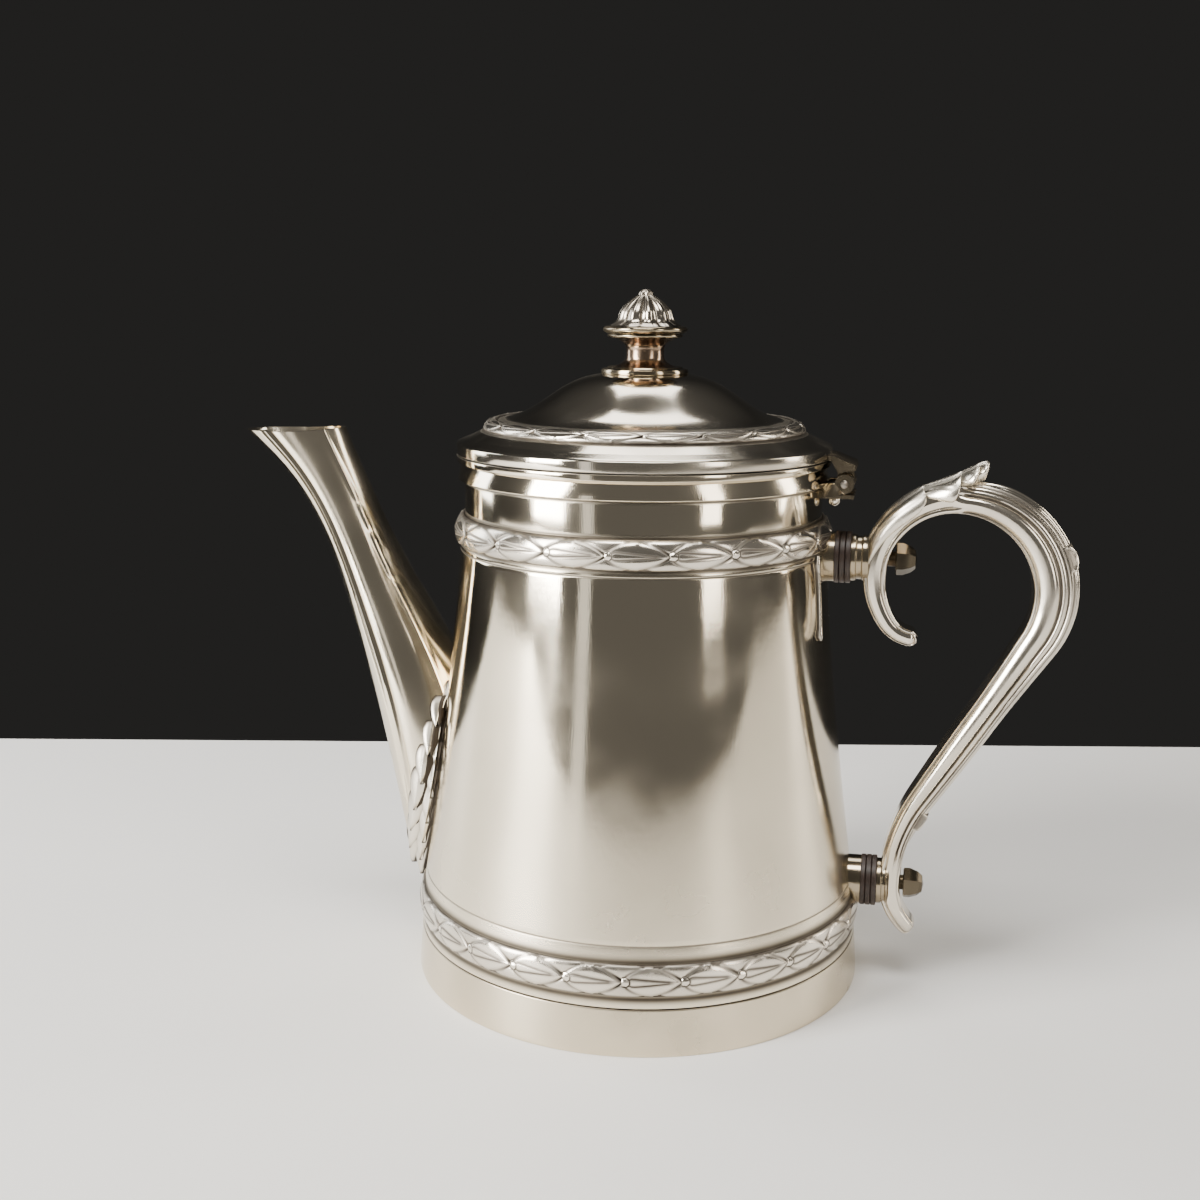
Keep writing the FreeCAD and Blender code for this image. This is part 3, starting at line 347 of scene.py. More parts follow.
def curve_through(levels, values, at):
    """A smooth (natural cubic) curve through values given at levels, read at other levels."""
    gap = np.diff(levels)
    count = len(levels)
    system, load = np.eye(count), np.zeros(count)
    inner = np.arange(1, count - 1)
    system[inner, inner - 1], system[inner, inner + 1] = gap[:-1], gap[1:]
    system[inner, inner] = 2 * (gap[:-1] + gap[1:])
    load[inner] = 6 * (np.diff(values[1:]) / gap[1:] - np.diff(values[:-1]) / gap[:-1])
    bend = np.linalg.solve(system, load)
    cell = np.clip(np.searchsorted(levels, at) - 1, 0, count - 2)
    width, left, right = gap[cell], at - levels[cell], levels[cell + 1] - at
    return ((bend[cell] * right ** 3 + bend[cell + 1] * left ** 3) / (6 * width)
            + (values[cell] / width - bend[cell] * width / 6) * right
            + (values[cell + 1] / width - bend[cell + 1] * width / 6) * left)


def spout_section(level, round_angle, inset=0.0):
    """Points of the spout's level section: an oval, squarer behind, with a raised front band edged by a bead.
    round_angle is 0 at the front. inset draws it in for the inner skin."""
    front = curve_through(SPOUT_LEVELS, SPOUT_FRONT, level)
    back = curve_through(SPOUT_LEVELS, SPOUT_BACK, level)
    half_width = curve_through(SPOUT_LEVELS, SPOUT_HALF_WIDTH, level) - inset
    half_length = (front - back) / 2 - inset
    turn = np.abs((round_angle + np.pi) % (2 * np.pi) - np.pi)
    lengthwise = np.cos(round_angle) * (1 + 0.16 * np.sin(round_angle) ** 2 * (turn > np.pi / 2))
    facet = 1.0 / (1.0 + np.exp((turn - BAND_EDGE) * 60.0))
    beads = ridge(turn, BEAD_AT, 0.040) - ridge(turn, 1.07, 0.035) - ridge(turn, 1.25, 0.035)
    back_bead = np.ones_like(level)
    for notch in BACK_BEAD_NOTCHES:
        back_bead = back_bead - 0.8 * ridge(level, notch, 0.8)
    back_bead = ridge(turn, BACK_BEAD_AT, 0.075) * back_bead
    proud = (0.35 * facet + 0.45 * beads + 0.32 * back_bead) * (inset == 0.0) * ramp(level, 34, 20)
    x = -((front + back) / 2 + (half_length + proud) * lengthwise)
    y = (half_width + proud) * np.sin(round_angle)
    return x, y


def spout_points(levels, around, inset):
    """One skin of the spout on a grid of levels and angles. Where it would be inside the pot it is laid on
    the middle of the wall, and the mouth dips a little behind."""
    level, angle = np.meshgrid(levels, around, indexing="ij")
    x, y = spout_section(level, angle, inset)
    reach = np.hypot(x, y)
    seat = wall_radius(level) - WALL / 2
    push = np.where(reach < seat, seat / np.maximum(reach, 1e-6), 1.0)
    dip = ramp(level, 135.0, 12.2) ** 3 * 1.6 * np.clip(-np.cos(angle), 0, 1)
    return np.stack([x * push, y * push, level + dip * 0.6], axis=-1)


spout_levels = np.linspace(SPOUT_LEVELS[0], SPOUT_LEVELS[-1], 150)
spout_around = np.linspace(0, 2 * np.pi, 220, endpoint=False)
spout_skins = np.concatenate([spout_points(spout_levels, spout_around, 0.0),
                              spout_points(spout_levels[::-1], spout_around, SPOUT_WALL)])
spout_silver = silver("spout_silver", SILVER_TONE, (0.12, 0.24), tarnish=0.12,
                      satin_below=(SATIN_LEVEL, MIRROR_LEVEL, 0.10))
fit(surface("spout_tube", spout_skins, wrap_rows=True, wrap_columns=True, sharp=50.0), "pot", "silver_plate",
    spout_silver, "spout")

# Leaf collar: cast laurel leaves lapped like shingles down both sides of the spout's root, tips downwards.
# They lie in the corner between spout and wall and hide the solder joint, with one more leaf at the toe.
LEAF_LENGTH, LEAF_WIDTH, LEAF_STEP = 13.0, 6.0, 3.3
COLLAR_TOP, COLLAR_LEAVES, WALL_ROW, SPOUT_ROW = 79.3, 15, 0.9, 4.9
TOE_TOP, TOE_LENGTH, TOE_HALF_WIDTH, TOE_RISE = 32.5, 12.0, 4.4, 1.2
collar_levels = np.linspace(18.0, 92.0, 149)
collar_strip = np.linspace(-6.0, 11.0, 103)


def root_line(level):
    """The corner between spout and wall at one level as a line: collar_strip measures along it, from the joint
    out along the spout's flank, or back along the wall where it is negative. The corner is rounded."""
    angle = np.linspace(0.0, np.pi, 700)
    x, y = spout_section(level, angle)
    joint = np.flatnonzero(np.hypot(x, y) > wall_radius(level))[-1]
    run = np.concatenate([[0.0], np.cumsum(np.hypot(np.diff(x), np.diff(y)))])
    out = run[joint] - np.maximum(collar_strip, 0.0)
    turn = np.arctan2(y[joint], x[joint]) + np.minimum(collar_strip, 0.0) / wall_radius(level)
    on_wall = collar_strip < 0
    line_x = np.where(on_wall, wall_radius(level) * np.cos(turn), np.interp(out, run, x))
    line_y = np.where(on_wall, wall_radius(level) * np.sin(turn), np.interp(out, run, y))
    soft = np.ones(21) / 21
    return [np.convolve(np.pad(line, 10, mode="edge"), soft, mode="valid") for line in (line_x, line_y)]


root_lines = np.array([root_line(level) for level in collar_levels])
root_slope = np.gradient(root_lines, axis=2)
root_normal = np.stack([root_slope[:, 1], -root_slope[:, 0]], axis=1)
root_normal = root_normal / np.maximum(np.linalg.norm(root_normal, axis=1, keepdims=True), 1e-6)
root_normal = root_normal * np.where(root_normal[:, 1:2] < 0, -1.0, 1.0)


def on_root(level, strip, lift):
    """Points over the corner's rounded surface, at levels and strip distances, raised by lift."""
    def cell(value, line):
        place = np.clip((value - line[0]) / (line[1] - line[0]), 0, len(line) - 1.001)
        return place.astype(int), place - place.astype(int)

    (row, down), (column, along) = cell(level, collar_levels), cell(strip, collar_strip)

    def read(table):
        return ((table[row, column] * (1 - along) + table[row, column + 1] * along) * (1 - down)
                + (table[row + 1, column] * (1 - along) + table[row + 1, column + 1] * along) * down)

    return np.stack([read(root_lines[:, 0]) + lift * read(root_normal[:, 0]),
                     read(root_lines[:, 1]) + lift * read(root_normal[:, 1]), level], axis=-1)


def collar_leaf(top, middle, side, fullness):
    """One leaf as a grid: a pointed oval hanging from a level, centred at a strip distance. It is domed across
    with a raised midrib, and its tip rises clear of the leaf below."""
    along, across = np.meshgrid(np.linspace(0, 1, 22), np.linspace(-1, 1, 17), indexing="ij")
    half = LEAF_WIDTH * fullness / 2 * np.sin(np.pi * (0.10 + 0.90 * along) ** 0.62) ** 0.75
    rib = 0.22 * ridge(across, 0.0, 0.12) * (1 - along)
    lift = 0.2 + 1.1 * along ** 0.8 + 0.9 * (1 - across ** 2) + rib
    points = on_root(top - LEAF_LENGTH * fullness * along, middle + half * across, lift)
    shade = np.clip(np.abs(across) ** 7 + (1 - along) ** 5 + along ** 14, 0, 1)
    return points * np.array([1.0, side, 1.0]), shade


def leaf_sheet(name, grids, thickness):
    """Leaf grids joined in one mesh: each is closed by a copy of itself sunk towards the pot's axis."""
    points, faces, shades = [], [], []
    for grid, shade in grids:
        rows, columns = grid.shape[:2]
        towards = grid * np.array([1.0, 1.0, 0.0])
        sunk = grid - thickness * towards / np.linalg.norm(towards, axis=-1, keepdims=True)
        loop = np.concatenate([grid, sunk[:, ::-1]], axis=1)
        index = np.arange(rows * 2 * columns).reshape(rows, 2 * columns) + sum(len(part) for part in points)
        beside = np.roll(index, -1, 1)
        sides = np.stack([index[:-1], index[1:], beside[1:], beside[:-1]], axis=-1)
        caps = [np.stack([end[:columns - 1], end[1:columns], end[2 * columns - 2:columns - 1:-1],
                          end[2 * columns - 1:columns:-1]], axis=-1) for end in (index[0], index[-1])]
        faces += [sides.reshape(-1, 4), caps[0], caps[1][:, ::-1]]
        points.append(loop.reshape(-1, 3))
        shades.append(np.concatenate([shade, shade[:, ::-1] * 0 + 1.0], axis=1).ravel())
    mesh = bpy.data.meshes.new(name)
    mesh.from_pydata((np.concatenate(points) * MM).tolist(), [], np.concatenate(faces).tolist())
    mesh.attributes.new("hollow", "FLOAT", "POINT").data.foreach_set("value", np.concatenate(shades))
    return smoothed(mesh, 1e-7, 60.0, turn_out=True)


collar_grids = []
for side in (-1, 1):
    for step in range(COLLAR_LEAVES):
        fullness = min(1.0, 0.55 + 0.06 * step)
        middle = (SPOUT_ROW if step % 2 else WALL_ROW) * fullness + 0.04 * step
        collar_grids.append(collar_leaf(COLLAR_TOP - step * LEAF_STEP, middle, side, fullness))
along, across = np.meshgrid(np.linspace(0, 1, 24), np.linspace(-1, 1, 19), indexing="ij")
toe_level = TOE_TOP - TOE_LENGTH * along
toe_half = TOE_HALF_WIDTH * np.sin(np.pi * (0.12 + 0.88 * along) ** 0.6) ** 0.7
toe_front = np.maximum(curve_through(SPOUT_LEVELS, SPOUT_FRONT, toe_level), wall_radius(toe_level))
toe_x = -(toe_front + TOE_RISE - 0.9 * across ** 2 + 0.25 * ridge(across, 0.0, 0.12))
collar_grids.append((np.stack([toe_x, toe_half * across, toe_level], axis=-1), np.abs(across) ** 8))
chased_silver = silver("chased_silver", (0.84, 0.78, 0.67), (0.24, 0.36), tarnish=0.12)
leaf_border = leaf_sheet("spout_leaf_border", collar_grids, 1.0)
fit(leaf_border, "pot", "laurel_silver", chased_silver, "spout_leaf_collar")

# Handle fittings: silver sockets on the wall, dark heat-stopping discs, silver cups and faceted silver nuts,
# threaded on a brass stud at each end of the handle. Discs, cups and nuts are turned here; the sockets and
# studs are smooth copies of their solids, which already have the real shape.
cast_silver = silver("cast_silver", (0.80, 0.73, 0.62), (0.09, 0.22), tarnish=0.24)
# The fitting silver's dark tone is painted shade and painted dark reflection: it stands for the shadow the
# fittings sit in and the dark backdrop they mirror. Its tarnish film is wear.
painted_shade_fitting_silver = silver("painted_shade_fitting_silver", (0.36, 0.30, 0.21), (0.12, 0.26), tarnish=0.45)
# The nut silver's near-black tone is painted shade for the shadowed nuts beside the pot. Its tarnish film is
# wear.
painted_shade_nut_silver = silver("painted_shade_nut_silver", (0.12, 0.10, 0.07), (0.14, 0.28), tarnish=0.45)
bud_silver = silver("bud_silver", (0.46, 0.41, 0.34), (0.12, 0.24), tarnish=0.45)


def plain_finish(name, tone, shade, roughness, metallic, grain):
    """A material of two close tones in a noise, with the same noise in its gloss and as a fine bump."""
    material, tree = new_material(name)
    grains = noise(tree, shader_node(tree, "TexCoord", {}).outputs["Object"], grain, 6.0)
    colour = mixed(tree, ranged(tree, grains, 0.35, 0.65, 0.0, 1.0), tone, shade)
    return finish(material, metallic, colour, ranged(tree, grains, 0.0, 1.0, *roughness), grains, 0.25, 0.00008)


insulator_finish = plain_finish("insulator_finish", (0.022, 0.013, 0.010), (0.042, 0.026, 0.019), (0.38, 0.55),
                                0.0, 900)
brass_finish = plain_finish("brass_finish", (0.17, 0.13, 0.08), (0.08, 0.06, 0.04), (0.30, 0.50), 1.0, 500)
copper_finish = plain_finish("copper_finish", (0.38, 0.27, 0.18), (0.21, 0.155, 0.115), (0.14, 0.30), 1.0, 160)
steel_finish = plain_finish("steel_finish", (0.52, 0.48, 0.42), (0.26, 0.22, 0.18), (0.25, 0.45), 1.0, 700)


def smooth_copy(node, body, slot, material):
    """A copy of a CAD node's mesh with its loose triangles joined and its round faces shaded smooth."""
    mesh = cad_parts[node].data.copy()
    mesh.name = node + "_finished"
    piece = smoothed(mesh, 2e-6, 32.0)
    piece.matrix_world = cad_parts[node].matrix_world
    fit(piece, body, slot, material, node)


def turned_fitting(name, outline, height, sides=0):
    """A closed outline of (distance along X, radius) carried round an axis along X at a height. With sides it
    is a prism instead of round: the radius is then that of its flats."""
    angle = np.linspace(0, 2 * np.pi, 96, endpoint=False)[:, None]
    reach, radius = outline[None, :, 0], outline[None, :, 1]
    if sides:
        corner = (angle % (2 * np.pi / sides)) - np.pi / sides
        radius = radius / np.cos(corner)
    points = np.stack([reach + 0 * angle, radius * np.sin(angle), height + radius * np.cos(angle)], axis=-1)
    return surface(name, points, wrap_rows=True, wrap_columns=True, sharp=28.0)


STUD_HOLE, DISC_RADIUS, DISC_LENGTH, CUP_RADIUS, NUT_RADIUS = 2.2, 6.9, 4.3, 6.2, 3.7
disc_outline = np.array([(0.0, STUD_HOLE), (0.0, 6.7), (0.2, DISC_RADIUS), (1.2, DISC_RADIUS), (1.4, 6.55),
                         (1.6, DISC_RADIUS), (2.7, DISC_RADIUS), (2.9, 6.55), (3.1, DISC_RADIUS),
                         (4.1, DISC_RADIUS), (DISC_LENGTH, 6.7), (DISC_LENGTH, STUD_HOLE)])
nut_outline = np.array([(0.0, 0.1), (0.0, 3.3), (0.3, NUT_RADIUS), (1.8, NUT_RADIUS), (3.9, 3.0), (5.1, 2.1),
                        (5.5, 0.1)])
for place, height, socket_end, cup_end, nut_seat in (("upper_handle", 117.4, 51.9, 60.9, 67.8),
                                                     ("lower_handle", 27.5, 62.4, 69.0, 73.9)):
    smooth_copy(place + "_socket", "pot", "silver_plate", painted_shade_fitting_silver)
    disc = turned_fitting(place + "_heat_stop", disc_outline + np.array([socket_end, 0.0]), height)
    fit(disc, "pot", "insulator", insulator_finish, place + "_insulator")
    start = socket_end + DISC_LENGTH
    cup_outline = [(start, STUD_HOLE), (start, CUP_RADIUS), (start + 1.3, CUP_RADIUS), (start + 1.5, 5.75),
                   (start + 2.9, 5.75), (start + 3.1, 6.1), (cup_end, 5.9), (cup_end, STUD_HOLE)]
    cup = turned_fitting(place + "_cup", eased_outline(cup_outline, 0.2, 4), height)
    fit(cup, "pot", "silver_plate", painted_shade_fitting_silver, place + "_ferrule")
    smooth_copy(place + "_stud", "pot", "brass", brass_finish)
    nut = turned_fitting(place + "_faceted_nut", nut_outline + np.array([nut_seat, 0.0]), height, 6)
    fit(nut, "pot", "silver_plate", painted_shade_nut_silver, place + "_nut")

# Handle: a cast C-scroll. It curls at the top, leans in down the grip and turns out again in a small tail.
# Its inside edge is flat, its sides are full, and it narrows to the reeded back.
SCROLL_X, SCROLL_TOP, LEFT_RADIUS, RIGHT_RADIUS, CURL_RADIUS = 84.03, 134.43, 21.5, 24.5, 9.0
GRIP_LEAN, GRIP_LENGTH, HEEL_RADIUS, TAIL_RADIUS = math.radians(31.6), 53.03, 46.6, 16.0
TIP_ROUNDING = 2.4
CURL_TIP, CURL_END, SOCKET_ANGLE, TAIL_TIP = (math.radians(a) for a in (275.0, 215.0, 168.0, 235.0))

left_z, right_z = SCROLL_TOP - LEFT_RADIUS, SCROLL_TOP - RIGHT_RADIUS
curl_x = SCROLL_X + (LEFT_RADIUS - CURL_RADIUS) * math.cos(CURL_END)
curl_z = left_z + (LEFT_RADIUS - CURL_RADIUS) * math.sin(CURL_END)
lean_out = np.array([math.cos(GRIP_LEAN), -math.sin(GRIP_LEAN)])
lean_way = np.array([-math.sin(GRIP_LEAN), -math.cos(GRIP_LEAN)])
grip_top = np.array([SCROLL_X, right_z]) + RIGHT_RADIUS * lean_out
grip_foot = grip_top + GRIP_LENGTH * lean_way
heel_centre = grip_foot + HEEL_RADIUS * lean_out
tail_x = heel_centre[0] - HEEL_RADIUS + TAIL_RADIUS
SPINE_ARCS = [
    (curl_x, curl_z, CURL_RADIUS, CURL_TIP, CURL_END),
    (SCROLL_X, left_z, LEFT_RADIUS, CURL_END, math.pi / 2),
    (SCROLL_X, right_z, RIGHT_RADIUS, math.pi / 2, -GRIP_LEAN),
    None,
    (heel_centre[0], heel_centre[1], HEEL_RADIUS, math.pi - GRIP_LEAN, math.pi),
    (tail_x, heel_centre[1], TAIL_RADIUS, math.pi, TAIL_TIP),
]
SPINE_LENGTHS = np.array([GRIP_LENGTH if arc is None else arc[2] * abs(arc[4] - arc[3]) for arc in SPINE_ARCS])
SPINE_ENDS = np.concatenate([[0.0], np.cumsum(SPINE_LENGTHS)])
HANDLE_LENGTH = SPINE_ENDS[-1]
SOCKET_AT = SPINE_ENDS[1] + LEFT_RADIUS * (CURL_END - SOCKET_ANGLE)
ARCH_AT = SPINE_ENDS[2] + RIGHT_RADIUS * math.pi / 2
GRIP_AT = SPINE_ENDS[3] + GRIP_LENGTH / 2
HEEL_AT = SPINE_ENDS[5]


def spine(distance):
    """Points and directions in (x, z) of the handle's middle line at distances from the curl's tip:
    five tangent arcs and the straight grip, each worked out where the distance falls on it."""
    points, ways = np.zeros((len(distance), 2)), np.zeros((len(distance), 2))
    cell = np.clip(np.searchsorted(SPINE_ENDS, distance, side="right") - 1, 0, len(SPINE_ARCS) - 1)
    for number, arc in enumerate(SPINE_ARCS):
        here = cell == number
        run = distance[here] - SPINE_ENDS[number]
        if arc is None:
            points[here] = grip_top + run[:, None] * lean_way
            ways[here] = lean_way
            continue
        x, z, radius, first, last = arc
        sign = 1.0 if last > first else -1.0
        angle = first + sign * run / radius
        points[here] = np.stack([x + radius * np.cos(angle), z + radius * np.sin(angle)], axis=-1)
        ways[here] = sign * np.stack([-np.sin(angle), np.cos(angle)], axis=-1)
    return points, ways


def eased(distance, keys, values):
    """Values between keys along the spine, easing in and out at each key."""
    cell = np.clip(np.searchsorted(keys, distance, side="right") - 1, 0, len(keys) - 2)
    keys, values = np.asarray(keys), np.asarray(values)
    share = np.clip((distance - keys[cell]) / (keys[cell + 1] - keys[cell]), 0, 1)
    return values[cell] + (values[cell + 1] - values[cell]) * (1 - np.cos(np.pi * share)) / 2


def handle_thickness(distance):
    """Depth of the handle in its own plane: thin at the tips, fullest at the arch."""
    return eased(distance, [0.0, SOCKET_AT, ARCH_AT, GRIP_AT, HEEL_AT, HANDLE_LENGTH],
                 [4.4, 6.0, 11.2, 8.4, 5.6, 4.4])


def handle_width(distance):
    """Width of the handle across its plane."""
    return eased(distance, [0.0, ARCH_AT, GRIP_AT, HANDLE_LENGTH], [8.0, 12.4, 12.4, 8.0])


def half_section(depths, widths):
    """Half of the handle's section as 49 evenly spaced points, from the middle of its inside to its back.
    Depths are shares of its thickness from -0.5 inside to 0.5 behind, and widths shares of its width."""
    depths, widths = np.array(depths), np.array(widths)
    run = np.concatenate([[0.0], np.cumsum(np.hypot(np.diff(depths), np.diff(widths)))])
    even = np.linspace(0, run[-1], 49)
    return np.stack([np.interp(even, run, depths), np.interp(even, run, widths)])


plain_half = half_section(
    [-0.50, -0.50, -0.47, -0.40, -0.33, -0.30, -0.26, -0.22, 0.0, 0.28, 0.33, 0.37, 0.42, 0.48, 0.50, 0.50],
    [0.0, 0.32, 0.41, 0.45, 0.445, 0.41, 0.405, 0.435, 0.46, 0.44, 0.41, 0.405, 0.42, 0.39, 0.30, 0.0])
reeded_half = half_section(
    [-0.50, -0.50, -0.48, -0.45, -0.42, -0.35, -0.24, -0.12, -0.03, 0.03, 0.065, 0.09, 0.125, 0.15, 0.22, 0.265,
     0.285, 0.305, 0.335, 0.375, 0.395, 0.415, 0.445, 0.475, 0.48],
    [0.0, 0.31, 0.375, 0.395, 0.375, 0.435, 0.485, 0.50, 0.485, 0.45, 0.405, 0.335, 0.345, 0.385, 0.375, 0.35,
     0.295, 0.31, 0.335, 0.31, 0.26, 0.265, 0.25, 0.20, 0.0])


def carried(distance, back_offset, sideways):
    """Points at offsets from the spine: back_offset towards the handle's back, sideways along Y.
    distance has one value per row; the offsets are grids of rows and columns."""
    points, ways = spine(distance)
    back = np.stack([-ways[:, 1], ways[:, 0]], axis=-1)
    x = points[:, None, 0] + back[:, None, 0] * back_offset
    z = points[:, None, 1] + back[:, None, 1] * back_offset
    return np.stack([x, sideways + 0 * x, z], axis=-1)


handle_run = np.linspace(0.0, HANDLE_LENGTH, 400)
reeding = np.clip((handle_run - SPINE_ENDS[2] + 3.0) / 5.0, 0, 1)
reeding = reeding * np.clip((HEEL_AT - 3.0 - handle_run) / 8.0, 0, 1)
reeding = (reeding ** 2 * (3 - 2 * reeding))[:, None]
half_shape = plain_half[:, None] * (1 - reeding) + reeded_half[:, None] * reeding
loop_depth = np.concatenate([half_shape[0], half_shape[0][:, -2:0:-1]], axis=1)
loop_width = np.concatenate([half_shape[1], -half_shape[1][:, -2:0:-1]], axis=1)


def groove_shade(depth, places):
    """Darkness of chased lines across the handle's section, at shares of its thickness."""
    return sum(strength * ridge(depth, place, 0.028) for place, strength in places)


handle_shade = (groove_shade(loop_depth, ((-0.29, 0.6), (0.36, 0.6))) * (1 - reeding)
                + groove_shade(loop_depth, ((-0.43, 0.7), (0.095, 1.0), (0.287, 0.9), (0.40, 0.8))) * reeding)
tip_close = np.clip(np.minimum(handle_run, HANDLE_LENGTH - handle_run) / TIP_ROUNDING, 0.0, 1.0)
tip_close = domed(1 - tip_close)[:, None]
handle_grid = carried(handle_run, handle_thickness(handle_run)[:, None] * loop_depth * tip_close,
                      handle_width(handle_run)[:, None] * loop_width * tip_close)
handle_shade = np.clip(handle_shade, 0, 1)
scroll = surface("scroll_handle", handle_grid, wrap_columns=True, hollow=handle_shade, sharp=50.0)
fit(scroll, "pot", "cast_silver", cast_silver, "handle")

# Reeds: three half-round beads chased down the handle's back, from the leaf to the heel.
# They are cast with the handle and run out in a point at both ends, with dark lines between them.
REED_HALF_WIDTH, REED_RISE, REED_FADE = 2.9, 0.95, 7.0


def raised(name, run, over, under, over_side, under_side, over_shade, under_shade, sharp):
    """A strip along the handle: its upper face and its underside, as offsets to the back and sideways, closed
    in one loop round each row, each with its darkness."""
    loop = np.concatenate([over, under[:, ::-1]], axis=1)
    side = np.concatenate([over_side, under_side[:, ::-1]], axis=1)
    shade = np.concatenate([over_shade + 0 * over, under_shade + 0 * under], axis=1)
    return surface(name, carried(run, loop, side), wrap_columns=True, hollow=shade, sharp=sharp)


reed_start, reed_end = SPINE_ENDS[2] + 3.0, SPINE_ENDS[4] + SPINE_LENGTHS[4] * 0.55
reed_run = np.linspace(reed_start, reed_end, 200)
reed_share = np.linspace(-1, 1, 37)[None, :]
reed_depth = handle_thickness(reed_run)[:, None]
fade = np.clip(np.minimum(reed_run - reed_start, reed_end - reed_run) / REED_FADE, 0, 1)[:, None]
bead = np.abs(np.cos(1.5 * np.pi * reed_share)) ** 0.6 * (1 - 0.35 * reed_share ** 2)
reed_side = REED_HALF_WIDTH * (0.45 + 0.55 * fade) * np.minimum(1.0, reed_depth / 7.0) * reed_share
reed_top = reed_depth * (0.45 - 0.10 * reed_share ** 2) + (0.15 + REED_RISE * bead) * fade ** 0.5
reed_floor = reed_depth * 0.30 + 0 * reed_share
reeds = raised("reeded_back", reed_run, reed_top, reed_floor, reed_side, reed_side,
               np.clip(1.0 - 2.2 * bead, 0, 1), 1.0, 70.0)
fit(reeds, "pot", "cast_silver", cast_silver, "handle_reeds")

# Ties: two ribbon ties cast across the reeds, one on the scroll's shoulder and one at the heel.
# Each stands a little proud of the reeds and is crossed by an X.
TIE_LENGTH, TIE_HALF_WIDTH, TIE_RISE, CROSS_RISE = 6.0, 3.7, 1.45, 0.45
tie_share, lengthwise = np.linspace(-1, 1, 33)[None, :], np.linspace(-1, 1, 40)[:, None]
cross = np.exp(-((np.abs(lengthwise) - np.abs(tie_share)) / 0.16) ** 2)
close = np.clip((1 - np.abs(lengthwise)) * 8, 0, 1) ** 0.5
for number, tie_start in enumerate((SPINE_ENDS[2] + SPINE_LENGTHS[2] * 0.52, SPINE_ENDS[4] + 2.0), start=1):
    tie_run = np.linspace(tie_start, tie_start + TIE_LENGTH, 40)
    tie_depth = handle_thickness(tie_run)[:, None]
    rise = tie_depth * (0.45 - 0.16 * tie_share ** 2) + (TIE_RISE + CROSS_RISE * cross) * close
    tie_side = TIE_HALF_WIDTH * np.minimum(1.0, tie_depth / 7.5) * tie_share
    tie = raised("ribbon_tie_%d" % number, tie_run, rise, tie_depth * 0.22 + 0 * tie_share, tie_side, tie_side,
                 np.clip(0.7 - cross, 0, 1), 1.0, 60.0)
    fit(tie, "pot", "cast_silver", cast_silver, *(("handle_ties",) if number == 1 else ()))

# Thumb leaf: a cast acanthus leaf soldered over the top of the scroll, its lobes lapped down the sides and its
# thick tip turned up for the thumb.
LEAF_START, LEAF_END = SOCKET_AT - 4.0, SPINE_ENDS[2] + 4.6
leaf_run = np.linspace(LEAF_START, LEAF_END, 260)
leaf_share = np.linspace(0, 1, 260)[:, None]
leaf_across = np.linspace(-1, 1, 65)[None, :]
LOBES = ((0.0, 0.65, 0.75, 1.85, 1.05), (0.65, 0.86, 1.05, 1.75, 0.85), (0.86, 0.95, 0.85, 1.10, 0.72),
         (0.95, 1.0001, 0.72, 0.74, 0.45))


def lobed_edge(share):
    """Angle round the handle, from the back, that the leaf's edge reaches, and the share of the way along its
    lobe: each lobe widens along the leaf and ends in a round tip, then the edge steps back for the next."""
    edge, along_lobe = np.zeros_like(share), np.zeros_like(share)
    for first, last, narrow, wide, notch in LOBES:
        run = (share - first) / (last - first)
        grown = narrow + (wide - narrow) * np.sin(np.clip(run / 0.8, 0, 1) * np.pi / 2)
        rounding = domed(ramp(run, 0.72, 0.28))
        edge = np.where((run >= 0) & (run < 1), notch + (grown - notch) * rounding, edge)
        along_lobe = np.where((run >= 0) & (run < 1), run, along_lobe)
    return edge, along_lobe


TIP_START, TIP_RISE = 0.70, 5.2
leaf_edge, along_lobe = lobed_edge(leaf_share)
wrap_angle = leaf_edge * leaf_across
half_depth = handle_thickness(leaf_run)[:, None] * 0.49
half_across = handle_width(leaf_run)[:, None] * 0.47
tip_share = np.clip((leaf_share - TIP_START) / 0.30, 0, 1)
curl_up = tip_share ** 2.3 * TIP_RISE
wide = np.abs(leaf_across)
beside = ramp(wide, 0.22, 0.35)
swell = domed((wide - 0.62) / 0.38)
swell = swell * np.sin(np.pi * np.clip(along_lobe, 0, 1) ** 1.6)
lapped = (1.1 * along_lobe ** 2 + 0.6 * swell) * beside ** 2 * (3 - 2 * beside)
vein = ridge(wide - 0.34 - 0.40 * along_lobe, 0.0, 0.055)
vein = vein * np.clip(4 * along_lobe * (1.05 - along_lobe), 0, 1)
midrib = 0.40 * ridge(leaf_across, 0.0, 0.13) - 0.22 * ridge(wide, 0.24, 0.06)
soft_edge = 0.25 * ramp(wide, 0.86, 0.14) ** 2
leaf_thick = (0.85 + lapped - 0.12 * vein + midrib - soft_edge) * np.clip(leaf_share / 0.10, 0.15, 1)
leaf_thick = leaf_thick + 0.5 * tip_share
leaf_rise = curl_up * (1 - 0.30 * leaf_across ** 2)
closing = np.clip(np.minimum(leaf_share / 0.014, (1 - leaf_share) / 0.06), 0, 1)
closing = domed(1 - closing)
depth_here = np.maximum(leaf_thick + 0.15, 0.9) + 0.6 * curl_up
over_thick = leaf_thick - 0.4 * depth_here * (1 - closing)
under_thick = leaf_thick - depth_here * (0.4 + 0.6 * closing)
leaf_back = (half_depth + over_thick) * np.cos(wrap_angle) + leaf_rise
leaf_side = (half_across + over_thick) * np.sin(wrap_angle)
under_back = (half_depth + under_thick) * np.cos(wrap_angle) + leaf_rise
under_side = (half_across + under_thick) * np.sin(wrap_angle)
leaf_lines = 0.35 * vein + 0.6 * ridge(wide, 0.24, 0.05) + (1 - along_lobe) ** 8 * beside
leaf = raised("acanthus_leaf", leaf_run, leaf_back, under_back, leaf_side, under_side,
              np.clip(leaf_lines, 0, 1) * 0.8, 0.1, 70.0)
fit(leaf, "pot", "cast_silver", chased_silver, "thumb_leaf")

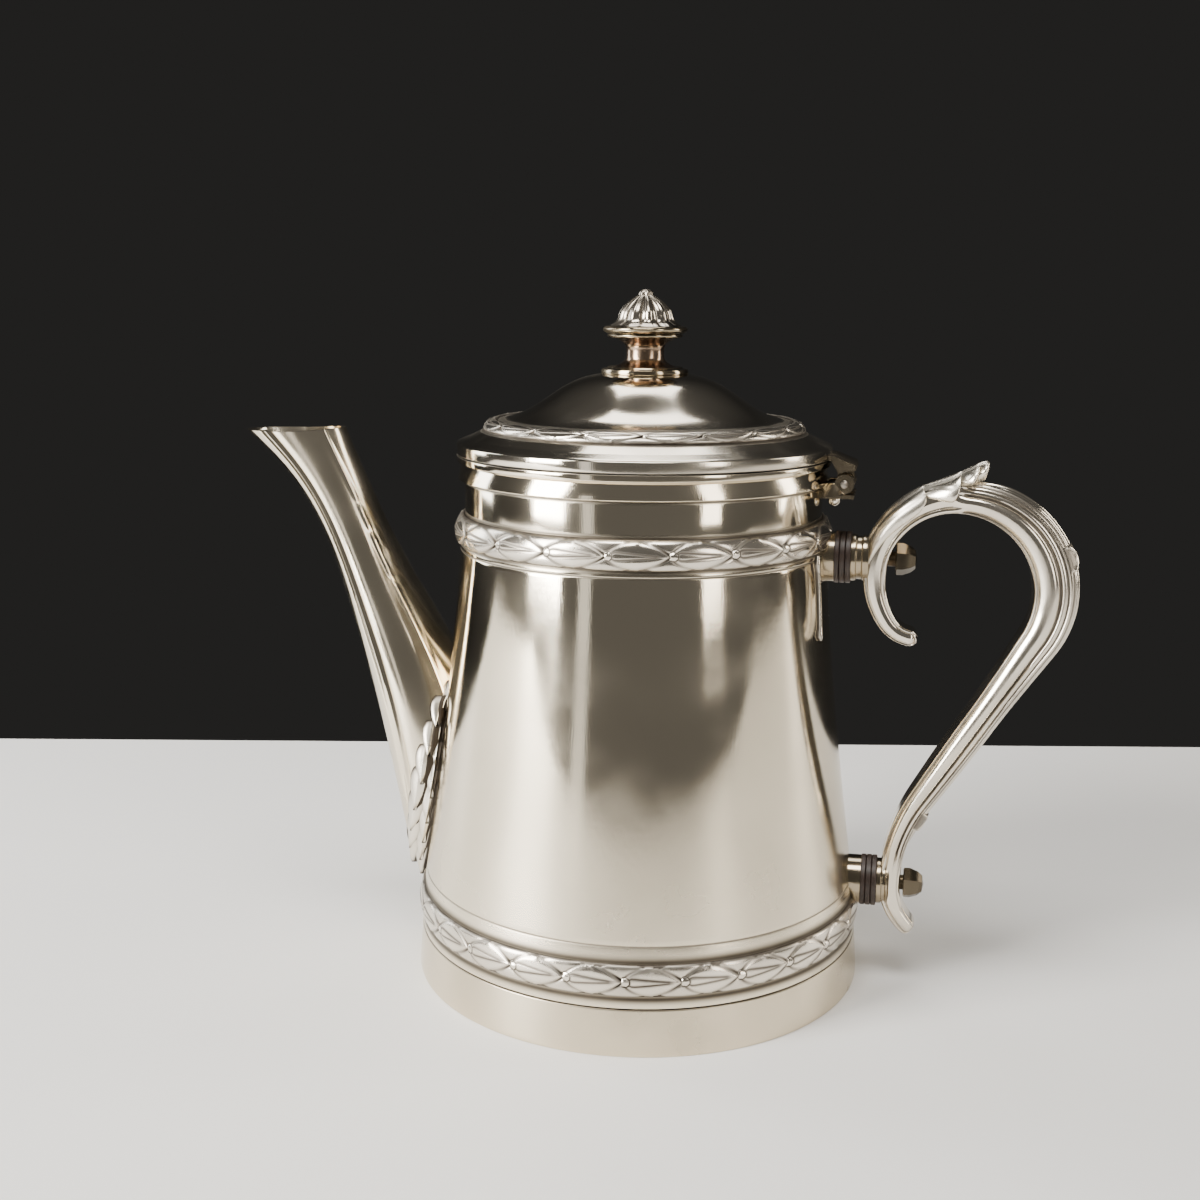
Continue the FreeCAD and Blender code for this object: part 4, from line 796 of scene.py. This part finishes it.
# Ribbon tails: two flat ribbon ends of silver that hang from the band beside the upper socket.
# They are soldered on the wall, and each swings outwards a little and ends in a bud.
RIBBON_ANGLE, RIBBON_TOP, RIBBON_BOTTOM = math.radians(14.0), 119.5, 97.4
RIBBON_HALF_WIDTH, BUD_SWELL, KNOT_SWELL = 0.95, 0.75, 0.6
tail_grids = []
for side in (-1, 1):
    along, across = np.meshgrid(np.linspace(0, 1, 60), np.linspace(-1, 1, 11), indexing="ij")
    level = RIBBON_TOP + (RIBBON_BOTTOM - RIBBON_TOP) * along
    half = RIBBON_HALF_WIDTH + BUD_SWELL * ridge(along, 0.93, 0.05) + KNOT_SWELL * ridge(along, 0.10, 0.05)
    half = half * np.sqrt(np.clip((1 - along) / 0.05, 0.02, 1))
    swing = side * (1.3 * along - 0.5 * np.sin(np.pi * along))
    radius = wall_radius(level) + 0.15 + 0.75 * np.sqrt(1 - 0.95 * across ** 2) * (0.7 + 0.5 * half / 1.7)
    angle = side * RIBBON_ANGLE + (swing + half * across) / wall_radius(level)
    tail_grids.append((np.stack([radius * np.cos(angle), radius * np.sin(angle), level], axis=-1),
                       np.abs(across) ** 4 * 0.8))
fit(leaf_sheet("ribbon_ends", tail_grids, 0.6), "pot", "silver_plate", cast_silver, "ribbon_tails")

# Lid: a spun dome of silver plate with an ogee slope and a square edge, and a laurel band round its foot.
# The bezel ring soldered inside its edge drops into the neck.
LID_EDGE, LID_LEVEL, LID_TOP, FINIAL_BORE = 50.1, 143.5, 164.5, 2.1
DOME_FOOT, DOME_LEVEL, DOME_RUN, DOME_RISE, DOME_WAVE = 39.6, 152.2, 28.0, 12.3, 0.093
UNDER_RADIUS, UNDER_TOP = 10.95, 163.2
lid_silver = silver("lid_silver", (0.77, 0.70, 0.58), (0.08, 0.18), tarnish=0.18,
                    lines=((143.4, 0.5, 1.0), (149.6, 0.5, 0.8), (152.5, 0.4, 0.7)))
slope = np.linspace(0, 1, 40)
wave = DOME_WAVE * np.sin(2 * np.pi * slope)
dome = np.stack([DOME_FOOT - DOME_RUN * slope, DOME_LEVEL + DOME_RISE * (slope - wave)], axis=-1)
dome_under = np.stack([UNDER_RADIUS + DOME_RUN * slope, UNDER_TOP - DOME_RISE * (slope - wave)], axis=-1)
lid_outline = np.concatenate([
    [(44.9, LID_LEVEL), (LID_EDGE, LID_LEVEL), (LID_EDGE, 146.3), (49.3, 146.75), (46.6, 147.8), (42.8, 149.8)],
    dome, [(FINIAL_BORE, LID_TOP), (FINIAL_BORE, UNDER_TOP)], dome_under, [(42.0, 148.5), (44.9, 147.7)]])
fit(turned("lid_dome", eased_outline(lid_outline, 0.2, 4), 240), "lid", "lid_silver", lid_silver, "lid_shell")
lid_band = laurel_band("lid_laurel_garland", (41.2, 151.0), (-1.65, 1.25), (0.60, 0.80), 0.65, 0.65, 18, 90)
fit(lid_band, "lid", "laurel_silver", laurel_silver, "lid_laurel_band")
smooth_copy("lid_bezel", "lid", "silver_plate", painted_shade_fitting_silver)

# Finial: a spool worn to the copper on a silver flange, a two-step disc and a cast bud of folded leaves.
# The turned pieces and the bud are threaded on one brass stud, held by a washer and a nut under the lid.
FLANGE_TOP, SPOOL_TOP, RING_TOP, DISC_TOP = 166.4, 173.8, 175.0, 176.9
waist = np.linspace(-1, 1, 21)
spool = np.stack([5.0 + 3.1 * np.abs(waist) ** 3.4, 170.1 + 3.7 * waist], axis=-1)
for name, corners, ease, steps, slot, material, nodes in (
        ("finial_flange_turned", [(FINIAL_BORE, LID_TOP), (11.4, LID_TOP), (11.6, 165.0), (11.4, 165.8),
                                  (10.2, 166.0), (9.9, FLANGE_TOP), (FINIAL_BORE, FLANGE_TOP)],
         0.15, 160, "silver_plate", painted_shade_fitting_silver, ()),
        ("finial_spool_turned", [(FINIAL_BORE, FLANGE_TOP), *spool, (FINIAL_BORE, SPOOL_TOP)],
         0.12, 128, "worn_copper", copper_finish, ("finial_spool",)),
        ("finial_ring_turned", [(FINIAL_BORE, SPOOL_TOP), (8.6, SPOOL_TOP), (9.9, 174.2), (10.0, 174.8),
                                (FINIAL_BORE, RING_TOP)],
         0.20, 128, "silver_plate", painted_shade_fitting_silver, ("finial_ring",)),
        ("finial_disc_turned", [(FINIAL_BORE, RING_TOP), (10.0, RING_TOP), (11.1, 175.7), (11.2, 176.4),
                                (10.6, DISC_TOP), (FINIAL_BORE, DISC_TOP)],
         0.25, 128, "silver_plate", painted_shade_fitting_silver, ("finial_disc",))):
    fit(turned(name, eased_outline(corners, ease), steps), "lid", slot, material, *nodes)
PETALS, BUD_FOOT, BELL_HEIGHT, CAP_RADIUS, CAP_HEIGHT = 10, 177.0, 8.0, 1.75, 1.5
rise = np.linspace(0, 1, 70)[None, :]
turn = np.linspace(0, 2 * np.pi, 400, endpoint=False)[:, None]
BELL_RISE = np.array([0.0, 0.10, 0.25, 0.45, 0.65, 0.82, 1.0])
BELL_RADIUS = np.array([9.3, 8.0, 7.0, 6.4, 5.3, 3.9, 1.9])
bell = curve_through(BELL_RISE, BELL_RADIUS, rise)
petal = np.abs(np.cos(PETALS * turn / 2)) ** 0.55
window = np.sin(np.pi * np.clip(rise * 0.96 + 0.04, 0, 1)) ** 0.5
flute = (0.95 * petal + 0.25 * ridge(petal, 1.0, 0.05) - 0.60) * window
flick = 0.5 * ridge(rise, 0.0, 0.09) * (petal - 0.5)
bud_radius = bell + flute + flick
bud_level = BUD_FOOT + BELL_HEIGHT * rise + 0.25 * (1 - petal) * ridge(rise, 0.0, 0.1)
cap = np.linspace(0, np.pi * 0.5, 12)[None, :]
cap_radius = (CAP_RADIUS + 0.16 * np.cos(6 * turn)) * np.cos(cap) ** 0.8
cap_level = BUD_FOOT + BELL_HEIGHT + CAP_HEIGHT * np.sin(cap) + 0 * turn
bud_radius = np.concatenate([0 * turn, bud_radius, cap_radius], axis=1)
bud_level = np.concatenate([BUD_FOOT + 0 * turn, bud_level, cap_level], axis=1)
folds = np.clip(1.1 - 2.2 * petal, 0, 1) * window
bud_shade = np.concatenate([1 + 0 * turn, folds, 0.2 + 0 * cap_radius], axis=1)
bud_points = np.stack([bud_radius * np.cos(turn), bud_radius * np.sin(turn), bud_level], axis=-1)
fit(surface("finial_bud_cast", bud_points, wrap_rows=True, hollow=bud_shade, sharp=75.0), "lid", "cast_silver",
    bud_silver, "finial_bud")
for node in ("finial_stud", "finial_washer", "finial_nut"):
    smooth_copy(node, "lid", "brass", brass_finish)

# Hinge: a folded bracket with two knuckles at the rim, the lid's leaf between them and a steel pin,
# with a small cast drop under the bracket.
smooth_copy("hinge_bracket", "pot", "silver_plate", painted_shade_fitting_silver)
smooth_copy("hinge_drop", "pot", "silver_plate", cast_silver)
smooth_copy("hinge_pin", "pot", "steel_pin", steel_finish)


def extruded(name, outline, low, high):
    """A closed outline of (x, z) carried along Y from low to high and closed at both ends."""
    outline = np.asarray(outline)
    middle = np.repeat(outline.mean(axis=0)[None], len(outline), axis=0)
    rows = [(middle, low), (outline, low), (outline, high), (middle, high)]
    points = [np.stack([shape[:, 0], np.full(len(shape), side), shape[:, 1]], axis=-1) for shape, side in rows]
    return surface(name, np.stack(points), wrap_columns=True, sharp=30.0)


PLATE_HALF_WIDTH, KNUCKLE_HALF_WIDTH = 7.7, 2.5
leaf_plate = eased_outline([(49.6, 144.9), (51.2, 144.6), (56.5, 142.6), (56.9, 141.2), (52.2, 140.5),
                            (50.4, 143.55), (49.6, 143.55)], 0.25)
plate = extruded("hinge_leaf_plate", leaf_plate, -PLATE_HALF_WIDTH, PLATE_HALF_WIDTH)
fit(plate, "lid", "silver_plate", painted_shade_fitting_silver, "lid_hinge_leaf")
strap = eased_outline([(52.4, 142.9), (55.9, 141.9), (56.45, 137.6), (55.8, 135.9), (54.0, 135.1),
                       (52.2, 135.9), (51.55, 137.6)], 0.6)
knuckle = extruded("hinge_leaf_knuckle", strap, -KNUCKLE_HALF_WIDTH, KNUCKLE_HALF_WIDTH)
fit(knuckle, "lid", "silver_plate", painted_shade_fitting_silver)

# Stage: a plain pale floor, turned square to the camera, under a dim studio that is lighter in front.
# Large soft panels light the pot: a window on the left, fills at the sides and above.
CAMERA_YAW = math.radians(12.0)
floor_corners = np.array([(-1.2, -0.50), (1.2, -0.50), (1.2, 0.20), (-1.2, 0.20)])
turn_floor = np.array([[math.cos(CAMERA_YAW), math.sin(CAMERA_YAW)],
                       [-math.sin(CAMERA_YAW), math.cos(CAMERA_YAW)]])
floor_mesh = bpy.data.meshes.new("floor")
floor_mesh.from_pydata([(x, y, 0.0) for x, y in floor_corners @ turn_floor], [], [(0, 1, 2, 3)])
floor = bpy.data.objects.new("floor", floor_mesh)
bpy.context.collection.objects.link(floor)
floor_paint, paint_tree = new_material("floor_paint")
paint = paint_tree.nodes["Principled BSDF"].inputs
paint["Base Color"].default_value = (0.72, 0.71, 0.69, 1.0)
paint["Roughness"].default_value = 0.55
floor_mesh.materials.append(floor_paint)

world = bpy.data.worlds.new("studio")
bpy.context.scene.world = world
world.use_nodes = True
sky = world.node_tree
way = shader_node(sky, "TexCoord", {}).outputs["Generated"]
facing = shader_node(sky, "VectorMath", {0: way, 1: (0.16, -0.85, 0.50)}, operation="DOT_PRODUCT")
backdrop = sky.nodes["Background"].inputs
sky.links.new(ranged(sky, facing.outputs["Value"], -0.60, 0.60, 0.020, 0.13), backdrop["Strength"])
backdrop["Color"].default_value = (1.0, 0.97, 0.92, 1.0)


def panel(name, place, aim, width, height, power, colour=(1.0, 0.98, 0.95)):
    """A soft rectangular light at a place, facing a point, both in metres."""
    light = bpy.data.lights.new(name, "AREA")
    light.shape = "RECTANGLE"
    light.size, light.size_y = width, height
    light.energy = power
    light.color = colour
    lamp = bpy.data.objects.new(name, light)
    bpy.context.collection.objects.link(lamp)
    lamp.location = place
    lamp.rotation_euler = (Vector(aim) - Vector(place)).to_track_quat("-Z", "Y").to_euler()


MIDDLE = (0.0, 0.0, 0.09)
panel("window_panel", (-0.91, -0.78, 0.52), MIDDLE, 0.50, 1.00, 48.0)
panel("side_panel", (1.18, 0.40, 0.50), MIDDLE, 0.25, 0.95, 7.0, (1.0, 0.93, 0.84))
panel("front_strip", (1.10, -0.85, 0.45), MIDDLE, 0.30, 0.85, 5.0, (1.0, 0.94, 0.86))
panel("left_panel", (-1.26, 0.33, 0.50), MIDDLE, 0.35, 0.95, 9.0, (0.95, 0.98, 1.0))
panel("low_strip", (-0.45, -1.05, 0.10), MIDDLE, 0.14, 0.70, 0.30)
panel("top_panel", (-0.10, 0.62, 1.22), MIDDLE, 0.55, 0.40, 3.5)
panel("overhead_panel", (0.0, -0.45, 1.45), MIDDLE, 0.80, 0.50, 18.0)

# Camera: its place was worked out from the round lines of the pot. It looks down a little, and stands to the
# handle's side of square.
CAMERA_PITCH, CAMERA_ROLL = math.radians(11.66), math.radians(0.41)
CAMERA_PLACE = np.array([-11.5, -396.0, 184.6])
FOCAL_PIXELS, FRAME_PIXELS, SENSOR = 1472.0, 1200.0, 36.0
ahead = np.array([0.0, math.cos(CAMERA_PITCH), -math.sin(CAMERA_PITCH)])
right = np.array([1.0, 0.0, 0.0])
up = np.array([0.0, math.sin(CAMERA_PITCH), math.cos(CAMERA_PITCH)])
right, up = (math.cos(CAMERA_ROLL) * right + math.sin(CAMERA_ROLL) * up,
             math.cos(CAMERA_ROLL) * up - math.sin(CAMERA_ROLL) * right)
yaw = np.array([[math.cos(CAMERA_YAW), -math.sin(CAMERA_YAW), 0],
                [math.sin(CAMERA_YAW), math.cos(CAMERA_YAW), 0], [0, 0, 1]])
pose = np.eye(4)
pose[:3, 0], pose[:3, 1], pose[:3, 2] = yaw @ right, yaw @ up, -(yaw @ ahead)
pose[:3, 3] = yaw @ CAMERA_PLACE * MM
lens = bpy.data.cameras.new("photo_camera")
lens.sensor_width = SENSOR
lens.lens = FOCAL_PIXELS / FRAME_PIXELS * SENSOR
lens.clip_start = 0.01
camera = bpy.data.objects.new("photo_camera", lens)
bpy.context.collection.objects.link(camera)
camera.matrix_world = Matrix(pose.tolist())
bpy.context.scene.camera = camera

bpy.context.view_layer.update()
